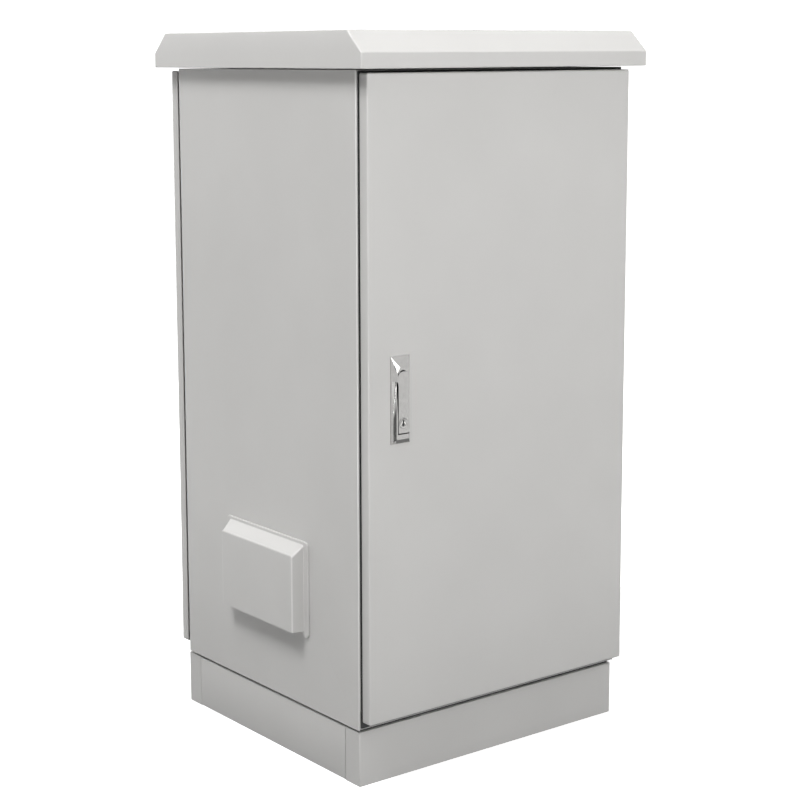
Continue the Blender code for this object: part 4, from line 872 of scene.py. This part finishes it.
def makeHoods():
    for node in ("inlet_hood", "outlet_hood"):
        low, high = (np.array(corner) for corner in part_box(node))
        place = (low, high, 1 if low[0] > 0 else -1, (low[1] + high[1]) / 2)
        shell = meshOf(node + "_shell", [hoodShell(*place)], closed=False)
        front = max(shell.polygons, key=lambda face: face.area)
        if front.normal.x * place[2] < 0:
            shell.flip_normals()
        piece = addPiece(node + "_shell", shell, "powder_coat", bodyOf(node), 40, [node])
        # painted highlight over the hood's upright folds
        markFoldHighlight(shell)
        wall = piece.modifiers.new("wall", "SOLIDIFY")
        wall.thickness = rainHood["wall"] / 1000
        wall.offset = -1
        flange = meshOf(node + "_flange", [hoodFlange(*place)])
        addPiece(node + "_flange", flange, "powder_coat", bodyOf(node), 40)


makeHoods()
print("hoods ready")


swing = {
    "axis": (-0.230, -0.300, 708, 631),     # across, door's face, heights of turning axis and lock
    "half": 20,
    "foot": 595,
    "head": 743.5,
    "edge": 1.4,            # height of its upright edge above the door
    "proud": 10,            # of its crest
    "floor": 2.4,           # of the slot's floor
    "knee": (17.3, 4.5, 3.1),               # bevel's knee: half width, height, rise from the foot
    "steep": 1.148,                         # rise of the right bevel to each mm inwards
    "crest": (-14.2, -12.6, 12.2),          # crest low left, high left and right
    "crestEnds": (603.7, 725),
    "straight": 622,                        # where the crest starts to run straight
    "facet": (-6, 716),                     # how far the corner facet runs on the crest
    "slot": (11.35, 611.8, 12.7),           # half width, foot, radius of the seat
    "seat": (153.35, 66, 26.65),            # degrees: left end, lever's way out, right end
    "seatFoot": 0.4486,                     # left end's height over the axis, share of the radius
    "scoop": (640, 701, 6),                 # from, to, height of its edge beside the lever
    "rim": 0.25,                            # least left between the scoop's crest and the slot
    "scoopCrest": (-5.3, 0.603, 0.797),     # across = (first - second * height) / third
    "scoopSwell": (1.15, 1.3, 0.7),         # fall of the knee, growth of the power, its own power
    "passage": (719.6, 5),                  # lever's way out on the right: top and height
    "boss": (15, 640, 735, 4, 11),          # half width, foot, head, corner, depth
    "step": 0.05,                           # between stations on both sides of a step
    "slit": ((-15.9, 728.8, 6.05), (-13.6, 720.6, 8.6), 0.62),      # its two ends and radius; the black rod there is painted shade in the slit
    # width of the eased edges, least sharp angle in degrees, and steps
    "eased": {"handle_casting": (0.28, 18, 2), "lever_casting": (0.35, 35, 3)},
}


def onDoor(across, up, proud):
    # millimetres on the door's face, and proud of it, as points
    across, up, proud = (np.asarray(part) / 1000 for part in (across, up, proud))
    return stacked(swing["axis"][0] + across, swing["axis"][1] - proud, up)


def station(edge, knee, crest, slot, power=1):
    # rows of twelve: points on the outer edge, the bevel, the crest and the slot's edge
    return stacked(*edge, *knee, *crest, *slot, power).reshape(-1, 12)


def handleBase():
    # Stations go round the casting: up the left side, over the seat, down the right. Each has a
    # point on the outer edge, one part way up the bevel, one on the crest and one on the slot's
    # edge. In the scoop the surface from bevel to crest is height = start + rise times
    # (share of the way) to a power that grows up the scoop.
    half, foot, head, edge, proud, floor, straight, near = (
        swing[k] for k in ("half", "foot", "head", "edge", "proud", "floor", "straight", "step"))
    bevel, knee, rise = swing["knee"]
    lowLeft, highLeft, right = swing["crest"]
    crestFoot, crestHead = swing["crestEnds"]
    facetAcross, facetLow = swing["facet"]
    slot, slotFoot, seat = swing["slot"]
    low, high, lip = swing["scoop"]
    passage, sill = swing["passage"]
    axis = swing["axis"][2]
    leftEnd, wayOut, rightEnd = np.radians(swing["seat"])

    def straightRow(side, crest, rim, level):
        # a station that runs level from edge to slot, at the full height
        return station((side * half, level), (side * bevel, level, knee), (crest, level, proud),
                       (rim, level, proud))

    def lowRow(level, height, rim):
        # the same on the right, where the casting is cut down to a height
        return station((half, level), (half - (height - edge) / swing["steep"], level, height),
                       (right, level, height), (rim, level, height))

    def seatAt(turn):
        return seat * np.cos(turn), axis + seat * np.sin(turn)

    level = np.linspace(low, high, 12)
    up = (level - low) / (high - low)
    fall, growth, bulge = swing["scoopSwell"]
    start, lean, across = swing["scoopCrest"]
    height = proud - (proud - lip) * up
    crest = np.minimum((start - lean * height) / across, -slot - swing["rim"])
    scoop = station((-half, level), (-bevel - up, level, knee - fall * up), (crest, level, height),
                    (-slot, level, height), 1 + growth * up ** bulge)

    # over the seat the crest goes up the corner facet in 5 steps, then to the right in 8
    count = np.arange(14)
    toFacet, toRight = np.clip(count / 5, 0, 1), np.clip((count - 5) / 8, 0, 1)
    crestAt = highLeft + (facetAcross - highLeft) * toFacet + (right - facetAcross) * toRight
    crestUp = facetLow + (crestHead - facetLow) * toFacet
    edgeAt = -half + 2 * half * toRight
    share = (knee - edge) / (proud - edge)
    kneeAt, kneeUp = edgeAt + (crestAt - edgeAt) * share, head + (crestUp - head) * share
    over = station((edgeAt, head), (kneeAt, kneeUp, knee), (crestAt, crestUp, proud),
                   (*seatAt(np.linspace(leftEnd, wayOut, 14)), proud))

    slotAt, slotUp = seatAt(np.linspace(wayOut, rightEnd, 6))
    out = lowRow(np.linspace(passage, slotUp[-1], 6), sill, slotAt)
    out[:, 9] = slotUp

    rows = np.concatenate([
        station((-half, foot), (-bevel, foot + rise, knee), (lowLeft, crestFoot, proud),
                (-slot, slotFoot, proud)),
        straightRow(-1, lowLeft, -slot, straight),
        scoop,
        straightRow(-1, highLeft, -slot, np.array([high + near, axis])),
        station((-half, facetLow), (-bevel, facetLow, knee), (highLeft, facetLow, proud),
                (-slot, axis + seat * swing["seatFoot"], proud)),
        over,
        straightRow(1, right, seatAt(wayOut)[0], passage + near),
        out,
        lowRow(high + near, sill, slot),
        lowRow(np.array([high, slotFoot + near]), floor, slot),
        straightRow(1, right, slot, slotFoot),
        station((half, foot), (bevel, foot + rise, knee), (right, crestFoot, proud),
                (slot, slotFoot, proud)),
    ])
    (edgeAt, edgeUp, kneeAt, kneeUp, kneeHigh, crestAt, crestUp, crestHigh,
     slotAt, slotUp, slotHigh, power) = rows.T
    way = np.linspace(0, 1, 7)[:, None]
    zero = np.zeros_like(edgeAt)
    across = np.concatenate([[edgeAt, edgeAt], kneeAt + (crestAt - kneeAt) * way, [slotAt, slotAt]])
    along = np.concatenate([[edgeUp, edgeUp], kneeUp + (crestUp - kneeUp) * way, [slotUp, slotUp]])
    above = np.concatenate([[zero + 0.3, zero + edge],
                            kneeHigh + (crestHigh - kneeHigh) * way ** power,
                            [slotHigh, zero + floor]])
    return skin(onDoor(across, along, above), closedColumns=True, capped=True)


# black sheet on the slot's floor: painted shade for the gaps round the lever
slotShade = {
    "across": 0.985,        # of the slot's own width
    "along": 0.998,
    "still": 668,           # height that stays where it is
    "heights": (2.3, 2.8),  # back and front, above the door
}


def slotShadeSkin():
    # black sheet on the slot's floor, painted shade that leaves the gaps round the lever dark: the
    # slot's outline, the seat's arc = axis + radius (cos, sin), drawn in a little
    half, foot, radius = swing["slot"]
    leftEnd, _, rightEnd = np.radians(swing["seat"])
    turn = np.linspace(rightEnd, leftEnd, 20)
    x = np.concatenate([[-half, half], radius * np.cos(turn)]) * slotShade["across"]
    z = np.concatenate([[foot, foot], swing["axis"][2] + radius * np.sin(turn)])
    z = slotShade["still"] + (z - slotShade["still"]) * slotShade["along"]
    return skin(onDoor(*np.broadcast_arrays(x, z, np.array(slotShade["heights"])[:, None])),
                closedColumns=True, capped=True)


def handleBoss():
    # rounded block through the door's cut-out
    half, low, high, corner, deep = swing["boss"]
    inset = np.array([0.6, 0, 0, 0.4])
    x, z = rings(half - inset, low + inset, high - inset, [corner] * 4, hold=0.5)
    depth = np.array([0.5, 0.2, -deep + 0.4, -deep])[:, None]
    return skin(onDoor(x, z, depth + 0 * x), closedColumns=True, capped=True)


leverShape = {
    "left": -9.7,
    "right": 10.6,
    "headRadius": 11,
    "headRise": 9.9,
    "end": 613.8,
    "endCorner": 1.2,
    "shoulder": (698.6, 701),
    "waist": (650, 658),    # the sides' points stand close up to here, and wide from here
    "middle": (660, 46),    # inner walls are drawn in towards this height, in full this far from it
    "back": 5.3,
    "wall": 1.6,
    "ceiling": 8.95,
    "crown": 0.22,          # how much lower the face is at its sides
    "hole": 8.75,
}


def leverShell():
    # Outline of the lever against polar rows round the lock's hole: a face point is hole point
    # + share of the way to the outline, lowered by crown times (distance from the middle) squared.
    left, right, radius, end, corner, wall, back, ceiling, crown, hole = (
        leverShape[k] for k in ("left", "right", "headRadius", "end", "endCorner", "wall", "back",
                                "ceiling", "crown", "hole"))
    narrow, wide = leverShape["shoulder"]
    below, above = leverShape["waist"]
    halfWay, far = leverShape["middle"]
    axis, lock = swing["axis"][2:]
    turn = np.radians(np.linspace(180, 0, 17))
    rise = np.concatenate([[end + corner], np.linspace(end + 4, below, 16),
                           np.linspace(above, narrow, 6)])
    foot = np.linspace(right - corner, left + corner, 11)
    across = np.concatenate([np.full(len(rise), left), [-radius], radius * np.cos(turn), [right],
                             np.full(len(rise), right), foot])
    along = np.concatenate([rise, [wide], axis + leverShape["headRise"] * np.sin(turn), [wide],
                            rise[::-1], np.full(len(foot), end)])
    angle = np.arctan2(along - lock, across)
    holeAt, holeUp = hole * np.cos(angle), lock + hole * np.sin(angle)
    inAt = across * (1 - wall / radius)
    inUp = along + np.clip((halfWay - along) / far, -1, 1) * wall
    share = np.array([0, 0.03, 0.3, 0.6, 0.85, 1])[:, None]
    faceAt, faceUp = holeAt + (across - holeAt) * share, holeUp + (along - holeUp) * share
    faceHigh = swing["proud"] - crown * ((faceAt - (left + right) / 2) / radius) ** 2
    level = np.array([ceiling, back, back, ceiling])[:, None] + 0 * across
    return skin(onDoor(np.concatenate([[holeAt], faceAt, [across, inAt, inAt]]),
                       np.concatenate([[holeUp], faceUp, [along, inUp, inUp]]),
                       np.concatenate([level[:1], faceHigh, level[1:]])),
                closedRows=True, closedColumns=True)


lock = {
    "ring": (8.1, 5.95, 5.0, 10.3),         # outer and inner radius, back and front
    "chamfer": 0.55,
    "disc": (5.65, 8.2, 10.05),             # radius, back and front
    "keyhole": (1.6, 5.1, 2.8, -2.4),       # half width and top of slot, radius and height of round
    # black pucks behind the keyhole, painted shade for its depth: radius, back, front, and middle above
    # the lock's axis
    "keyholeShade": ((5.45, 5.0, 8.2, 0), (4.4, 3.0, 5.2, 6.3), (3.2, 3.0, 5.2, 1.5)),
}


def lockRing():
    # profile of a ring carried round the lock's axis
    outer, inner, back, front = lock["ring"]
    c = lock["chamfer"]
    radius = np.array([inner, inner, inner + 0.3, outer - c, outer - 0.15, outer, outer])[:, None]
    high = np.array([back, front - 0.35, front - 0.1, front, front - 0.15, front - c, back])[:, None]
    turn = circle(48)
    grid = onDoor(radius * np.cos(turn), swing["axis"][3] + radius * np.sin(turn), high + 0 * turn)
    return skin(grid, closedRows=True, closedColumns=True)


def keyDisc():
    # The keyhole's outline against a circle at the same angles, so the face is one polar grid.
    radius, back, front = lock["disc"]
    half, top, bore, drop = lock["keyhole"]
    start = math.asin(half / bore)
    turn = np.linspace(math.pi / 2 + start, 2.5 * math.pi - start, 17)
    x = np.concatenate([np.array([1, 1, 0.5, -0.5, -1, -1]) * half, bore * np.cos(turn)])
    z = np.concatenate([[top * 0.4, top - 0.5, top, top, top - 0.5, top * 0.4],
                        drop + bore * np.sin(turn)])
    angle = np.arctan2(z, x)
    share = np.array([0, 0.05, 0.94, 1, 1, 0])[:, None]
    across = x + (radius * np.cos(angle) - x) * share
    up = z + (radius * np.sin(angle) - z) * share
    high = np.array([front - 0.12, front, front, front - 0.12, back, back])[:, None]
    grid = onDoor(across, swing["axis"][3] + up, high + 0 * x)
    return skin(grid, closedRows=True, closedColumns=True)


def puck(radius, low, high, rise, ease=0.15):
    # short round bar proud of the door's face, its edges eased
    turn = circle(32)
    r = np.array([radius - ease, radius, radius, radius - ease])[:, None]
    h = np.array([low, low + ease, high - ease, high])[:, None] + 0 * turn
    return skin(onDoor(r * np.cos(turn), swing["axis"][3] + rise + r * np.sin(turn), h),
                closedColumns=True, capped=True)


def rodAlong(start, end, radius, steps=10):
    # round bar between two points on the door, with domed ends: radius follows a half circle
    start, end = (onDoor(*point) for point in (start, end))
    radius = radius / 1000
    length = np.linalg.norm(end - start)
    way = (end - start) / length
    side = np.cross(way, (0, 1, 0))
    side /= np.linalg.norm(side)
    cos, sin = quarter(4)
    t = np.concatenate([radius * (1 - cos), length - radius * (1 - cos[::-1])])[:, None, None]
    r = radius * np.concatenate([sin, sin[::-1]])[:, None, None]
    r[0] = r[-1] = radius * 0.02
    turn = circle(steps)[:, None]
    grid = start + way * t + r * (side * np.cos(turn) + np.cross(way, side) * np.sin(turn))
    return skin(grid, closedColumns=True, capped=True)


def makeHandle():
    # name: skins, finish, node that it rides with, bend, and whether it stands for that node
    pieces = {
        "handle_casting": ([handleBase(), handleBoss()], "chromed_casting", "handle_base", 18, True),
        "lever_casting": ([leverShell()], "chromed_casting", "lever", 30, True),
        "lock_ring": ([lockRing()], "chromed_casting", "lock_barrel", 30, True),
        "key_disc": ([keyDisc()], "chromed_casting", "lock_cylinder", 40, True),
        "keyhole_shade": ([puck(*one) for one in lock["keyholeShade"]], "black_plastic", "lock_cylinder", 40, False),
        "slot_shade_sheet": ([slotShadeSkin()], "black_plastic", "handle_base", 30, False),
        # black rod flush in the bevel where a slit shows dark: painted shade
        "slit_shade": ([rodAlong(*swing["slit"])], "black_plastic", "handle_base", 60, False),
    }
    for name, (skins, finish, node, bend, stands) in pieces.items():
        mesh = meshOf(name, skins)
        piece = addPiece(name, mesh, finish, bodyOf(node), bend, [node] if stands else ())
        if name in swing["eased"]:
            easeEdges(piece, *swing["eased"][name])


makeHandle()
print("handle ready")


# black rubber strip on the body's flanges behind the doors' edges: painted shade for the gaps round the
# doors
gapShadeStrip = {
    "inner": (288.2, 113.8, 1200.2),        # half width, foot, head
    "outer": (296.6, 105.4, 1210.6),
    "corners": (2, 1.8, 1, 1),
    "chamfer": 0.3,
    "thick": 1.25,
    "faces": {"front": (-276.05, -1), "rear": (267.55, 1)},     # body's flange and way out
}


def gapShadeRing(face, sign):
    # black rubber strip round the opening, put there to darken the gaps round the doors as painted
    # shade: a rounded rectangle inside another, at two depths
    outer, inner, cut = (np.array(gapShadeStrip[k]) for k in ("outer", "inner", "chamfer"))
    wide, low, high = np.array([outer, outer - cut * (1, -1, 1), inner, inner]).T / 1000
    x, z = rings(wide, low, high, np.array(gapShadeStrip["corners"]) / 1000, hold=0.0005)
    proud = np.array([0, 1, 1, 0])[:, None] * sign * gapShadeStrip["thick"] / 1000 + face / 1000
    return skin(stacked(x, proud, z), closedRows=True, closedColumns=True)


def makeGapShadeStrips():
    for place, (face, sign) in gapShadeStrip["faces"].items():
        name = place + "_gap_shade_strip"
        addPiece(name, meshOf(name, [gapShadeRing(face, sign)]), "black_rubber", "cabinet", 30)


makeGapShadeStrips()
print("gap shade strips ready")


screwHead = {
    # shares of the head's radius and height, from the foot over the dome
    "dome": ((1, -0.2), (1, 0.65), (0.94, 0.8425), (0.82, 0.9475), (0.68, 1)),
    "socket": 0.4524,       # half width of the hexagon socket, share of the radius
    "deep": 0.6,
    "hinge": (247.5, 260.5, 1039, 1052),    # heights of the hinges' screws
}

screws = {
    # name: body, then each screw's middle, way out, radius and height
    "front_hinge_screws": ("cabinet", [((272.5, -278.4, z), (0, -1, 0), 2.1, 1.5)
                                       for z in screwHead["hinge"]]),
    "rear_hinge_screws": ("cabinet", [((272.5, 269.9, z), (0, 1, 0), 2.1, 1.5)
                                      for z in screwHead["hinge"]]),
    "front_cover_screws": ("front_door", [((x, -296.9, z), (0, 1, 0), 2.2, 1.6)
                                          for x in (-254.3, -205.7) for z in (684, 732)]),
    "fan_screws": ("cabinet", [((-245.4, y, z), (1, 0, 0), 3.2, 2.0)
                               for y in (-58, 47) for z in (261.5, 366.5)]),
}


def screwSkin(middle, out, radius, height, steps=18):
    # Button head: circles whose height is domed, ending in a six-sided socket. The socket's
    # radius is its half width over the cosine of the angle from the nearest flat's middle.
    turn = circle(steps)
    flat = screwHead["socket"] * radius / np.cos((turn + math.pi / 6) % (math.pi / 3) - math.pi / 6)
    dome = np.array(screwHead["dome"])
    r = np.concatenate([dome[:, :1] * radius + 0 * turn, [flat, flat]])[..., None]
    h = np.concatenate([dome[:, 1], [1, 1 - screwHead["deep"]]])[:, None, None] * height
    side, up, turn = np.cross(out, (0, 0, 1)), np.array((0, 0, 1)), turn[:, None]
    grid = (np.array(middle) + r * (side * np.cos(turn) + up * np.sin(turn)) + np.array(out) * h) / 1000
    return skin(grid, closedColumns=True, capped=True)


for name, (body, places) in screws.items():
    addPiece(name, meshOf(name, [screwSkin(*place) for place in places]), "bright_steel", body, 40)


fanGuard = {
    "plane": -244.2,        # across the cabinet
    "middle": (-5.5, 314),
    "wire": 0.9,            # radius
    "rings": (12, 23, 34, 45, 55),
    "spokes": (45, 135, 225, 315),
    "reach": (11, 73),
    "sides": 8,
}


def wireRing(radius):
    # point = centre + (ring's radius + wire's radius cos b) in the direction a, and
    # wire's radius sin b outward
    a, b = circle(48)[:, None], circle(fanGuard["sides"])
    wire, (y, z) = fanGuard["wire"], fanGuard["middle"]
    out = radius + wire * np.cos(b)
    grid = stacked(fanGuard["plane"] + wire * np.sin(b), y + out * np.cos(a), z + out * np.sin(a))
    return skin(grid / 1000, closedRows=True, closedColumns=True)


def wireSpoke(angle):
    # circles along a straight line from the middle, the end ones small to round the ends
    (near, far), (y, z) = fanGuard["reach"], fanGuard["middle"]
    t = np.array([near, near, far, far])[:, None]
    r = fanGuard["wire"] * np.array([0.3, 1, 1, 0.3])[:, None]
    b = circle(fanGuard["sides"])
    cos, sin, side = math.cos(angle), math.sin(angle), r * np.cos(b)
    grid = stacked(fanGuard["plane"] + 1.5 * fanGuard["wire"] + r * np.sin(b),
                   y + t * cos - side * sin, z + t * sin + side * cos) / 1000
    return skin(grid, closedColumns=True, capped=True)


wires = [wireRing(radius) for radius in fanGuard["rings"]]
wires += [wireSpoke(math.radians(angle)) for angle in fanGuard["spokes"]]
addPiece("fan_guard", meshOf("fan_guard", wires), "bright_steel", "cabinet", 60)
print("small fittings ready")


eased = {
    # node: width of the eased edge, least sharp angle in degrees, steps
    "side_panel_left": (0.4, 20, 2),
    "side_panel_right": (0.4, 20, 2),
    "plinth_front": (1.3, 20, 3),
    "plinth_rear": (1.3, 20, 3),
    "plinth_left": (1.3, 20, 3),
    "plinth_right": (1.3, 20, 3),
    "handle_hub": (0.2, 28, 2),
}


def finerCopy(node, width, limit, steps):
    # the node's own shape with its loose triangles joined and its sharp edges eased
    shape = bmesh.new()
    shape.from_mesh(nodes[node].data)
    bmesh.ops.remove_doubles(shape, verts=shape.verts, dist=2e-6)
    bmesh.ops.dissolve_limit(shape, angle_limit=math.radians(0.4), verts=shape.verts,
                             edges=shape.edges)
    mesh = bpy.data.meshes.new(node + "_fine")
    shape.to_mesh(mesh)
    shape.free()
    piece = addPiece(node + "_fine", mesh, slotOf[node], bodyOf(node), limit, [node])
    easeEdges(piece, width, limit, steps)
    if node.startswith("side_panel"):
        # painted highlight over the side panels' upright folds
        markFoldHighlight(mesh, "FACE")


for node, sizes in eased.items():
    finerCopy(node, *sizes)
print("eased copies:", len(eased))

scene.view_layers[0].update()
